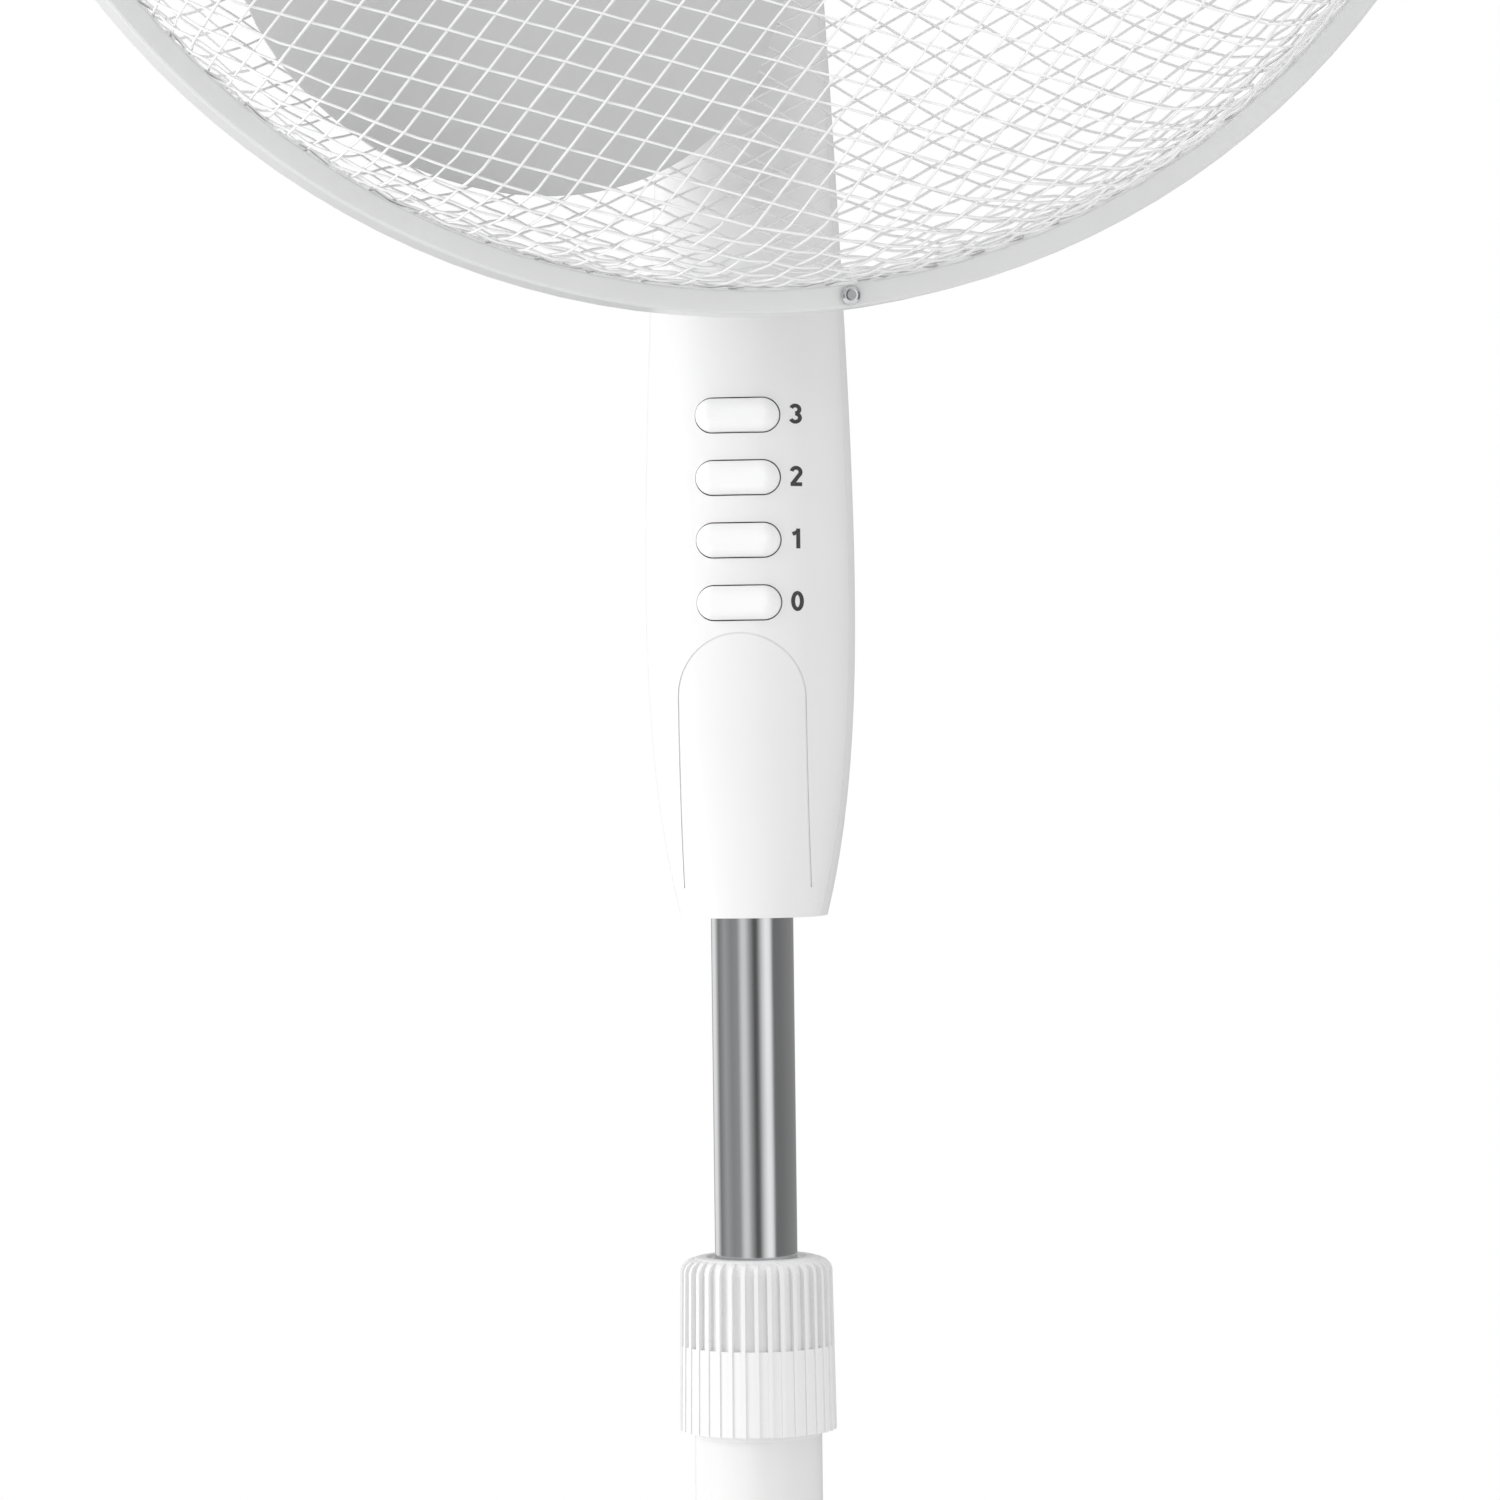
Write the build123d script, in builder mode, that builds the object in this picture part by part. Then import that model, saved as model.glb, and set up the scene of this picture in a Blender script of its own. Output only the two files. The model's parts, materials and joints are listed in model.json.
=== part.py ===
from build123d import *
import math
import os

os.makedirs("parts", exist_ok=True)

# A 40 cm pedestal fan: a cross base, a two-part pole with a fluted lock nut, a slim control column with four
# push buttons, and a tilting, oscillating head with a woven wire guard. Millimetres, +Z up, the origin on the
# floor under the pole. The control column faces -Y. The head is drawn where it stands: turned 15 degrees to the
# +X side and nodding a little.

# ---------------------------------------------------------------- driving dimensions
LEG_SPAN = 600.0
LEG_WIDTH = 38.0
LEG_HEIGHT = 20.0
LEG_WALL = 1.5
LEG_FLOOR = 5.5
CAP_WALL = 2.0
PAD_RADIUS = 12.0
PAD_INSET = 22.0

LOWER_TUBE_RADIUS = 17.0
LOWER_TUBE_TOP = 461.9
INNER_TUBE_RADIUS = 11.0
INNER_TUBE_BOTTOM = 262.0
INNER_TUBE_TOP = 662.0
RUNNING_GAP = 0.05
LOOSE_GAP = 0.3

NUT_BOTTOM = 463.5
NUT_TOP = 509.5
NUT_RADIUS_BOTTOM = 20.95
NUT_RADIUS_TOP = 20.25
NUT_RIDGES = 36
NUT_STEP = 486.0

HOUSING_BOTTOM = 600.0
HOUSING_HEIGHT = 264.0
HOUSING_WALL = 2.2
HOUSING_WIDEST_AT = 80.0
HOUSING_BOTTOM_HALF = 19.45
HOUSING_WIDEST_HALF = 28.0
HOUSING_TOP_HALF = 20.3
HOUSING_DEPTH_RATIO = 1.17
HOUSING_SETBACK = 7.0

BUTTON_WIDTH = 22.0
BUTTON_HEIGHT = 8.9
BUTTON_LOWEST = 683.0
BUTTON_PITCH = 16.4
BUTTON_PROUD = 3.2
BUTTON_CROWN = 3.6
BUTTON_GAP = 0.3
BUTTON_TRAVEL = 3.0

TILT_HEIGHT = 882.0
HEAD_TILT = 3.6
HEAD_PAN = 15.0
SHAFT_ABOVE_TILT = 82.0
SHAFT_OFFSET = -11.2

RING_FRONT = 90.9
RING_DEPTH = 20.0
RING_RADIUS = 204.9
RING_FACE = 5.9
GUARD_FRONT = 115.0
GUARD_REAR = 30.0
GUARD_SKIN = 0.7
HOOP_RADIUS = 200.3

BLADES = 3
BLADE_TIP = 186.5
BLADE_ANGLE = -118.0
SHAFT_RADIUS = 4.0
STATOR_RADIUS = 36.0
COVER_RADIUS = 50.0
COVER_WALL = 2.0

# ---------------------------------------------------------------- planes and axes
POLE = Plane.XZ
NECK = Plane(origin=(0, 0, TILT_HEIGHT)).moved(Rotation(HEAD_TILT, 0, 0))
NECK_SIDE = Plane(origin=NECK.origin, x_dir=NECK.y_dir, z_dir=NECK.x_dir)
PAN = NECK.offset(SHAFT_ABOVE_TILT).moved(Rotation(0, 0, HEAD_PAN))
FAN_ORIGIN = PAN.from_local_coords((SHAFT_OFFSET, 0, 0))
FAN = Plane(origin=FAN_ORIGIN, x_dir=PAN.x_dir, z_dir=PAN.y_dir * -1)
FAN_SECTION = Plane(origin=FAN_ORIGIN, x_dir=FAN.x_dir, z_dir=FAN.y_dir * -1)
FAN_AXIS = Axis(FAN_ORIGIN, FAN.z_dir)


def profile(plane, *points):
    """The flat face inside a closed outline, from its corners on the plane."""
    with BuildSketch(plane) as face:
        with BuildLine():
            Polyline(*points, close=True)
        make_face()
    return face.sketch


def band(plane, inner, outer, low, high):
    """The section of a plain ring: two radii and two heights."""
    return profile(plane, (inner, low), (outer, low), (outer, high), (inner, high))


def finish(piece, name):
    """Label one piece and write it to its own file."""
    piece.part.label = name
    export_step(piece.part, f"parts/{name}.step")


# ---------------------------------------------------------------- base
LEG_MIDDLE = LEG_FLOOR + LEG_HEIGHT / 2
LEG_TOP = LEG_FLOOR + LEG_HEIGHT
LEG_TUBE_HALF = LEG_SPAN / 2 - 4.0
LAP = LEG_WIDTH + 0.4
SOCKET_SCREW_CIRCLE = 40.0
SOCKET_SCREW_RADIUS = 2.5


def leg_tube(along):
    """A flat-sided leg tube, centred on the pole, with the holes for two socket screws."""
    across_plane = Plane(origin=(0, 0, LEG_MIDDLE), x_dir=Vector(0, 0, 1).cross(along), z_dir=along)
    with BuildPart() as tube:
        with BuildSketch(across_plane):
            RectangleRounded(LEG_WIDTH, LEG_HEIGHT, 6)
            RectangleRounded(LEG_WIDTH - 2 * LEG_WALL, LEG_HEIGHT - 2 * LEG_WALL, 4.5, mode=Mode.SUBTRACT)
        extrude(amount=LEG_TUBE_HALF, both=True)
        with Locations(along * SOCKET_SCREW_CIRCLE, along * -SOCKET_SCREW_CIRCLE):
            Cylinder(SOCKET_SCREW_RADIUS + 0.2, 80, mode=Mode.SUBTRACT)
    return tube.part


with BuildPart() as base_leg_x:
    add(leg_tube(Vector(1, 0, 0)))
    with Locations((0, 0, LEG_TOP)):
        Box(LAP, LEG_WIDTH + 2, LEG_HEIGHT, mode=Mode.SUBTRACT)
finish(base_leg_x, "base_leg_x")

with BuildPart() as base_leg_y:
    add(leg_tube(Vector(0, 1, 0)))
    with Locations((0, 0, LEG_FLOOR)):
        Box(LEG_WIDTH + 2, LAP, LEG_HEIGHT, mode=Mode.SUBTRACT)
finish(base_leg_y, "base_leg_y")

CAP_LENGTH = 42.0
with BuildPart() as leg_end_caps:
    with Locations((LEG_SPAN / 2 - CAP_LENGTH / 2, 0, LEG_MIDDLE)):
        Box(CAP_LENGTH, LEG_WIDTH + 2 * CAP_WALL, LEG_HEIGHT + 2 * CAP_WALL)
    fillet(leg_end_caps.edges().filter_by(Axis.X), 7.5)
    fillet(leg_end_caps.faces().sort_by(Axis.X)[-1].edges(), 3.5)
    with BuildSketch(Plane(origin=(LEG_SPAN / 2 - CAP_LENGTH, 0, LEG_MIDDLE), z_dir=(1, 0, 0), x_dir=(0, 1, 0))):
        RectangleRounded(LEG_WIDTH + 0.1, LEG_HEIGHT + 0.1, 6)
    extrude(amount=CAP_LENGTH - 4.0, mode=Mode.SUBTRACT)
    quarter_cap = leg_end_caps.part
    for turn in (90, 180, 270):
        add(quarter_cap.rotate(Axis.Z, turn))
finish(leg_end_caps, "leg_end_caps")

with BuildPart() as foot_pads:
    with PolarLocations(LEG_SPAN / 2 - PAD_INSET, 4):
        Cylinder(PAD_RADIUS, LEG_FLOOR - CAP_WALL, align=(Align.CENTER, Align.CENTER, Align.MIN))
    chamfer(foot_pads.faces().filter_by(Axis.Z).sort_by(Axis.Z)[:4].edges(), 0.8)
finish(foot_pads, "foot_pads")

SOCKET_PLATE = 5.0
SOCKET_TOP = 92.0
with BuildPart() as pole_socket:
    revolve(
        profile(
            POLE,
            (12, LEG_TOP),
            (54, LEG_TOP),
            (54, LEG_TOP + SOCKET_PLATE),
            (33, LEG_TOP + SOCKET_PLATE),
            (26, LEG_TOP + SOCKET_PLATE + 3),
            (21, LEG_TOP + SOCKET_PLATE + 12),
            (20.5, SOCKET_TOP),
            (LOWER_TUBE_RADIUS + RUNNING_GAP, SOCKET_TOP),
            (LOWER_TUBE_RADIUS + RUNNING_GAP, LEG_TOP + 4),
            (12, LEG_TOP + 4),
        ),
        axis=Axis.Z,
    )
    with PolarLocations(SOCKET_SCREW_CIRCLE, 4):
        Cylinder(SOCKET_SCREW_RADIUS + 0.2, 80, mode=Mode.SUBTRACT)
finish(pole_socket, "pole_socket")

with BuildPart() as base_screws:
    with PolarLocations(SOCKET_SCREW_CIRCLE, 4):
        with Locations((0, 0, LEG_FLOOR - 1.5)):
            Cylinder(SOCKET_SCREW_RADIUS, 29.0, align=(Align.CENTER, Align.CENTER, Align.MIN))
        with Locations((0, 0, LEG_TOP + SOCKET_PLATE)):
            Cylinder(4.6, 3.0, align=(Align.CENTER, Align.CENTER, Align.MIN))
finish(base_screws, "base_screws")

COVER_FOOT = 8.0
COVER_HOLE = 21.4
with BuildPart() as base_cover:
    with BuildSketch(POLE) as base_cover_section:
        with BuildLine():
            Polyline((COVER_HOLE, 64), (24, 64))
            Spline((24, 64), (50, 56), (78, 38), (88, COVER_FOOT), tangents=((1, 0), (0, -1)))
            Polyline((88, COVER_FOOT), (85.8, COVER_FOOT))
            Spline((85.8, COVER_FOOT), (76, 36.5), (49, 53.8), (24, 61.8), tangents=((0, 1), (-1, 0)))
            Polyline((24, 61.8), (COVER_HOLE, 61.8), (COVER_HOLE, 64))
        make_face()
    revolve(axis=Axis.Z)
    with Locations((0, 0, LEG_MIDDLE)):
        Box(200, LEG_WIDTH + 0.8, LEG_HEIGHT + 0.8, mode=Mode.SUBTRACT)
        Box(LEG_WIDTH + 0.8, 200, LEG_HEIGHT + 0.8, mode=Mode.SUBTRACT)
finish(base_cover, "base_cover")

# ---------------------------------------------------------------- pole
LOWER_BORE = LOWER_TUBE_RADIUS - 1.5
with BuildPart() as lower_tube:
    revolve(band(POLE, LOWER_BORE, LOWER_TUBE_RADIUS, LEG_TOP + 4, LOWER_TUBE_TOP), axis=Axis.Z)
finish(lower_tube, "lower_tube")

COLLET_BORE = INNER_TUBE_RADIUS + RUNNING_GAP
COLLET_TOP = NUT_TOP - 6.0
with BuildPart() as height_collet:
    revolve(
        profile(
            POLE,
            (COLLET_BORE, LOWER_TUBE_TOP - 36),
            (LOWER_BORE - 0.05, LOWER_TUBE_TOP - 36),
            (LOWER_BORE - 0.05, LOWER_TUBE_TOP),
            (LOWER_TUBE_RADIUS + 0.1, LOWER_TUBE_TOP),
            (LOWER_TUBE_RADIUS + 0.1, NUT_BOTTOM - LOOSE_GAP),
            (15.2, NUT_BOTTOM - LOOSE_GAP),
            (15.2, NUT_STEP),
            (14.0, NUT_STEP + 1),
            (12.6, COLLET_TOP),
            (COLLET_BORE, COLLET_TOP),
        ),
        axis=Axis.Z,
    )
    with Locations((0, 0, COLLET_TOP)):
        Box(1.2, 40, 30, mode=Mode.SUBTRACT)
        Box(40, 1.2, 30, mode=Mode.SUBTRACT)
finish(height_collet, "height_collet")

RIDGE_HEIGHT_TOP = 1.5
RIDGE_HEIGHT_BOTTOM = 0.4
with BuildPart() as lock_nut:
    revolve(
        profile(
            POLE,
            (15.5, NUT_BOTTOM),
            (NUT_RADIUS_BOTTOM - RIDGE_HEIGHT_BOTTOM, NUT_BOTTOM),
            (NUT_RADIUS_BOTTOM - RIDGE_HEIGHT_BOTTOM - 0.35, NUT_STEP),
            (NUT_RADIUS_TOP - RIDGE_HEIGHT_TOP + 0.3, NUT_STEP),
            (NUT_RADIUS_TOP - RIDGE_HEIGHT_TOP, NUT_TOP - 3.4),
            (NUT_RADIUS_TOP - RIDGE_HEIGHT_TOP - 0.4, NUT_TOP - 2.0),
            (NUT_RADIUS_TOP - RIDGE_HEIGHT_TOP - 1.3, NUT_TOP - 0.9),
            (NUT_RADIUS_TOP - RIDGE_HEIGHT_TOP - 2.6, NUT_TOP - 0.2),
            (NUT_RADIUS_TOP - RIDGE_HEIGHT_TOP - 3.6, NUT_TOP),
            (INNER_TUBE_RADIUS + 2.4, NUT_TOP),
            (INNER_TUBE_RADIUS + 1.6, NUT_TOP - 0.8),
            (INNER_TUBE_RADIUS + 0.4, NUT_TOP - 0.8),
            (INNER_TUBE_RADIUS + 0.4, COLLET_TOP + 0.5),
            (12.9, COLLET_TOP + 0.5),
            (14.3, NUT_STEP + 1.3),
            (15.5, NUT_STEP + 1.3),
        ),
        axis=Axis.Z,
    )
    with BuildSketch(POLE) as ridge:
        with BuildLine():
            Polyline(
                (NUT_RADIUS_BOTTOM - 2.4, NUT_BOTTOM),
                (NUT_RADIUS_BOTTOM, NUT_BOTTOM),
                (NUT_RADIUS_TOP, NUT_TOP - 4.2),
            )
            ThreePointArc(
                (NUT_RADIUS_TOP, NUT_TOP - 4.2),
                (NUT_RADIUS_TOP - 0.9, NUT_TOP - 1.7),
                (NUT_RADIUS_TOP - 3.2, NUT_TOP - 0.5),
            )
            Polyline(
                (NUT_RADIUS_TOP - 3.2, NUT_TOP - 0.5),
                (NUT_RADIUS_TOP - 3.2, NUT_TOP - 3),
                (NUT_RADIUS_BOTTOM - 2.4, NUT_BOTTOM),
            )
        make_face()
    one_ridge = extrude(amount=0.55, both=True, mode=Mode.PRIVATE)
    for number in range(NUT_RIDGES):
        add(one_ridge.rotate(Axis.Z, (number + 0.5) * 360 / NUT_RIDGES))
finish(lock_nut, "lock_nut")

with BuildPart() as tube_guide_bush:
    revolve(
        profile(
            POLE,
            (INNER_TUBE_RADIUS - 1.2, INNER_TUBE_BOTTOM - 5),
            (LOWER_BORE - 0.1, INNER_TUBE_BOTTOM - 5),
            (LOWER_BORE - 0.1, INNER_TUBE_BOTTOM + 25),
            (INNER_TUBE_RADIUS + RUNNING_GAP, INNER_TUBE_BOTTOM + 25),
            (INNER_TUBE_RADIUS + RUNNING_GAP, INNER_TUBE_BOTTOM - 0.3),
            (INNER_TUBE_RADIUS - 1.2, INNER_TUBE_BOTTOM - 0.3),
        ),
        axis=Axis.Z,
    )
finish(tube_guide_bush, "tube_guide_bush")

with BuildPart() as inner_tube:
    revolve(
        band(POLE, INNER_TUBE_RADIUS - 1.2, INNER_TUBE_RADIUS, INNER_TUBE_BOTTOM, INNER_TUBE_TOP),
        axis=Axis.Z,
    )
finish(inner_tube, "inner_tube")


# ---------------------------------------------------------------- control column
def half_width(height):
    """Half the column's width at a height above its lower end: a slim belly."""
    if height < HOUSING_WIDEST_AT:
        below = (HOUSING_WIDEST_AT - height) / HOUSING_WIDEST_AT
        return HOUSING_WIDEST_HALF - (HOUSING_WIDEST_HALF - HOUSING_BOTTOM_HALF) * below**1.9
    above = (height - HOUSING_WIDEST_AT) / (HOUSING_HEIGHT - HOUSING_WIDEST_AT)
    return HOUSING_WIDEST_HALF - (HOUSING_WIDEST_HALF - HOUSING_TOP_HALF) * above**1.5


def front_depth(height):
    """How far the column's front stands before the pole's axis at a height above its lower end."""
    return half_width(height) * HOUSING_DEPTH_RATIO - HOUSING_SETBACK


SECTION_POWER = 2.35
SECTION_POINTS = 20


def housing_section(height, inset):
    """The column's rounded section at a height, drawn in by the inset."""
    across = half_width(height) - inset
    deep = half_width(height) * HOUSING_DEPTH_RATIO - inset
    points = []
    for number in range(SECTION_POINTS):
        angle = 2 * math.pi * number / SECTION_POINTS
        cosine = math.copysign(abs(math.cos(angle)) ** (2 / SECTION_POWER), math.cos(angle))
        sine = math.copysign(abs(math.sin(angle)) ** (2 / SECTION_POWER), math.sin(angle))
        points.append((across * cosine, HOUSING_SETBACK + deep * sine))
    with BuildSketch(Plane.XY.offset(HOUSING_BOTTOM + height)) as section:
        with BuildLine():
            Spline(*points, periodic=True)
        make_face()
    return section.sketch


def housing_solid(inset, low, high, top_round):
    """The column's solid form between two heights, drawn in by the inset."""
    steps = 5
    heights = [low + (high - low) * number / steps for number in range(steps + 1)]
    with BuildPart() as form:
        loft([housing_section(height, inset) for height in heights])
        fillet(form.faces().sort_by(Axis.Z)[-1].edges(), top_round)
    return form.part


PANEL_DEPTH = 0.25
outer_form = housing_solid(0, 0, HOUSING_HEIGHT, 5.0)
inner_form = housing_solid(HOUSING_WALL, HOUSING_WALL, HOUSING_HEIGHT - HOUSING_WALL, 3.5)
groove_form = housing_solid(PANEL_DEPTH, 0, HOUSING_HEIGHT, 4.5)
SEAM = HOUSING_SETBACK - 9.0
SEAM_GAP = 0.24
TONGUE_HALF = 8.0
SHELL_SCREW_HEIGHTS = (HOUSING_BOTTOM + 66, HOUSING_BOTTOM + 236)
GLAND_HEIGHT = HOUSING_BOTTOM + 24
GLAND_BACK = HOUSING_SETBACK + HOUSING_DEPTH_RATIO * half_width(24)
CLAMP_HEIGHT = HOUSING_BOTTOM + 44

PANEL_HALF = 17.0
PANEL_ARCH = HOUSING_BOTTOM + 58.3
PANEL_FOOT = HOUSING_BOTTOM + 8.0
PANEL_LINE = 0.45

with BuildPart() as panel_line:
    with BuildSketch(POLE.offset(6)):
        with Locations((0, PANEL_ARCH)):
            Circle(PANEL_HALF)
        with Locations((0, (PANEL_ARCH + PANEL_FOOT) / 2)):
            Rectangle(2 * PANEL_HALF, PANEL_ARCH - PANEL_FOOT)
        with Locations((0, PANEL_ARCH)):
            Circle(PANEL_HALF - PANEL_LINE, mode=Mode.SUBTRACT)
        with Locations((0, (PANEL_ARCH + PANEL_FOOT) / 2)):
            Rectangle(2 * (PANEL_HALF - PANEL_LINE), PANEL_ARCH - PANEL_FOOT + 1, mode=Mode.SUBTRACT)
    extrude(amount=40)
    add(groove_form, mode=Mode.SUBTRACT)

with BuildPart() as housing_front:
    add(outer_form)
    add(inner_form, mode=Mode.SUBTRACT)
    split(bisect_by=Plane.XZ.offset(SEAM_GAP / 2 - SEAM), keep=Keep.TOP)
    with Locations((0, 0, HOUSING_BOTTOM)):
        Cylinder(INNER_TUBE_RADIUS + 0.2, 20, mode=Mode.SUBTRACT)
    with Locations((0, 0, HOUSING_BOTTOM + HOUSING_HEIGHT)):
        Box(2 * TONGUE_HALF + 1, 31, 30, mode=Mode.SUBTRACT)
    with BuildSketch(POLE.offset(10)):
        with Locations(*[(0, BUTTON_LOWEST + BUTTON_PITCH * number) for number in range(4)]):
            SlotOverall(BUTTON_WIDTH + 2 * BUTTON_GAP, BUTTON_HEIGHT + 2 * BUTTON_GAP)
    extrude(amount=30, mode=Mode.SUBTRACT)
    add(panel_line.part, mode=Mode.SUBTRACT)
finish(housing_front, "housing_front")

with BuildPart() as housing_rear:
    add(outer_form)
    add(inner_form, mode=Mode.SUBTRACT)
    split(bisect_by=Plane.XZ.offset(-SEAM_GAP / 2 - SEAM), keep=Keep.BOTTOM)
    with Locations((0, 0, HOUSING_BOTTOM)):
        Cylinder(INNER_TUBE_RADIUS + 0.2, 20, mode=Mode.SUBTRACT)
    with Locations((0, 0, HOUSING_BOTTOM + HOUSING_HEIGHT)):
        Box(2 * TONGUE_HALF + 1, 31, 30, mode=Mode.SUBTRACT)
    with Locations(*[Plane.XZ.offset(-60).location * Pos(0, height, 0) for height in SHELL_SCREW_HEIGHTS]):
        Cylinder(3.6, 60, mode=Mode.SUBTRACT)
    with Locations(Plane.XZ.offset(-60).location * Pos(0, CLAMP_HEIGHT, 0)):
        Cylinder(3.2, 80, mode=Mode.SUBTRACT)
    with Locations(Plane.XZ.offset(-60).location * Pos(0, GLAND_HEIGHT, 0)):
        Cylinder(4.6, 80, mode=Mode.SUBTRACT)
finish(housing_rear, "housing_rear")

CLAMP_RING_OUTER = 15.5
with BuildPart() as tube_clamp:
    revolve(
        band(POLE, INNER_TUBE_RADIUS, CLAMP_RING_OUTER, HOUSING_BOTTOM + 33, HOUSING_BOTTOM + 60),
        axis=Axis.Z,
    )
    with Locations((0, 24, CLAMP_HEIGHT)):
        Box(12, 22, 14)
    with Locations(Plane.XZ.location * Pos(0, CLAMP_HEIGHT, -25)):
        Cylinder(2.1, 60, mode=Mode.SUBTRACT)
    with Locations((0, 0, CLAMP_HEIGHT)):
        Cylinder(INNER_TUBE_RADIUS, 60, mode=Mode.SUBTRACT)
finish(tube_clamp, "tube_clamp")

with BuildPart() as clamp_screw:
    with BuildSketch(Plane.XZ.offset(-(INNER_TUBE_RADIUS + 0.1))):
        with Locations((0, CLAMP_HEIGHT)):
            Circle(2.0)
    extrude(amount=-22)
    with BuildSketch(Plane.XZ.offset(-35.2)):
        with Locations((0, CLAMP_HEIGHT)):
            Circle(3.0)
    extrude(amount=-2.4)
    with BuildSketch(Plane.XZ.offset(-33)):
        with Locations((0, CLAMP_HEIGHT)):
            Circle(2.0)
    extrude(amount=-3)
finish(clamp_screw, "clamp_screw")

with BuildPart() as housing_screws:
    for height in SHELL_SCREW_HEIGHTS:
        back = HOUSING_SETBACK + HOUSING_DEPTH_RATIO * half_width(height - HOUSING_BOTTOM)
        with BuildSketch(Plane.XZ.offset(-(back - HOUSING_WALL - 1.0))):
            with Locations((0, height)):
                Circle(3.3)
        extrude(amount=-2.4)
        with BuildSketch(Plane.XZ.offset(-(back - 18))):
            with Locations((0, height)):
                Circle(1.5)
        extrude(amount=-(18 - HOUSING_WALL - 1.0))
finish(housing_screws, "housing_screws")

with BuildPart() as cord_gland:
    with BuildSketch(Plane.XZ.offset(-(GLAND_BACK - 4))):
        with Locations((0, GLAND_HEIGHT)):
            Circle(4.4)
            Circle(2.6, mode=Mode.SUBTRACT)
    extrude(amount=-7)
    with BuildSketch(Plane.XZ.offset(-(GLAND_BACK + 1.4))):
        with Locations((0, GLAND_HEIGHT)):
            Circle(6.4)
            Circle(2.6, mode=Mode.SUBTRACT)
    extrude(amount=-1.6)
finish(cord_gland, "cord_gland")

SWITCH_LOW = BUTTON_LOWEST - 9.0
SWITCH_HIGH = BUTTON_LOWEST + 3 * BUTTON_PITCH + 9.0
SWITCH_FRONT = 10.0
STEM_RADIUS = 2.5
STEM_REACH = 8.0
with BuildPart() as switch_body:
    with Locations((0, 3, (SWITCH_LOW + SWITCH_HIGH) / 2)):
        Box(20, 2 * SWITCH_FRONT + 6, SWITCH_HIGH - SWITCH_LOW)
    fillet(switch_body.edges().filter_by(Axis.Z), 1.5)
    with BuildSketch(POLE.offset(SWITCH_FRONT)):
        with Locations(*[(0, BUTTON_LOWEST + BUTTON_PITCH * number) for number in range(4)]):
            Circle(STEM_RADIUS + LOOSE_GAP)
    extrude(amount=-(STEM_REACH + BUTTON_TRAVEL + 1), mode=Mode.SUBTRACT)
finish(switch_body, "switch_body")

for number in range(4):
    height = BUTTON_LOWEST + BUTTON_PITCH * number
    front = front_depth(height - HOUSING_BOTTOM)
    with BuildPart() as button:
        with BuildSketch(POLE.offset(front - 5.5)):
            with Locations((0, height)):
                SlotOverall(BUTTON_WIDTH, BUTTON_HEIGHT)
        extrude(amount=5.5 + BUTTON_PROUD)
        fillet(button.faces().sort_by(Axis.Y)[0].edges(), BUTTON_CROWN)
        with BuildSketch(POLE.offset(front - 5.5)):
            with Locations((0, height)):
                Circle(STEM_RADIUS)
        extrude(amount=-(front - 5.5 - SWITCH_FRONT + STEM_REACH))
    finish(button, f"button_{number}")

TONGUE_ROUND = 13.0
TILT_BOLT_RADIUS = 3.0
with BuildPart() as tilt_bracket:
    with BuildSketch(Plane.YZ):
        with Locations((0, TILT_HEIGHT)):
            Circle(TONGUE_ROUND)
        with Locations((0, TILT_HEIGHT - 25)):
            Rectangle(2 * TONGUE_ROUND, 50)
        with Locations((0, TILT_HEIGHT)):
            Circle(TILT_BOLT_RADIUS, mode=Mode.SUBTRACT)
    extrude(amount=TONGUE_HALF, both=True)
    with Locations((0, 1, TILT_HEIGHT - 46)):
        Box(26, 25, 14)
finish(tilt_bracket, "tilt_bracket")

EAR_INNER = TONGUE_HALF + LOOSE_GAP
EAR_OUTER = 15.3
with BuildPart() as tilt_bolt:
    with BuildSketch(Plane.YZ.offset(-EAR_OUTER - 0.4)):
        with Locations((0, TILT_HEIGHT)):
            Circle(TILT_BOLT_RADIUS)
    extrude(amount=EAR_OUTER + 0.4 + 26)
    with BuildSketch(Plane.YZ.offset(-EAR_OUTER - 0.4)):
        with Locations((0, TILT_HEIGHT)):
            RegularPolygon(6.2, 6)
    extrude(amount=-4)
finish(tilt_bolt, "tilt_bolt")

with BuildPart() as tilt_knob:
    with BuildSketch(Plane.YZ.offset(EAR_OUTER + 0.4)):
        with Locations((0, TILT_HEIGHT)):
            Circle(7)
    extrude(amount=4)
    with BuildSketch(Plane.YZ.offset(EAR_OUTER + 4.4)):
        with Locations((0, TILT_HEIGHT)):
            Circle(13)
            with PolarLocations(14.6, 6):
                Circle(3.4, mode=Mode.SUBTRACT)
    extrude(amount=9)
    fillet(tilt_knob.faces().sort_by(Axis.X)[-1].edges(), 1.2)
    with BuildSketch(Plane.YZ.offset(EAR_OUTER + 0.4)):
        with Locations((0, TILT_HEIGHT)):
            Circle(TILT_BOLT_RADIUS + RUNNING_GAP)
    extrude(amount=11, mode=Mode.SUBTRACT)
finish(tilt_knob, "tilt_knob")

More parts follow.
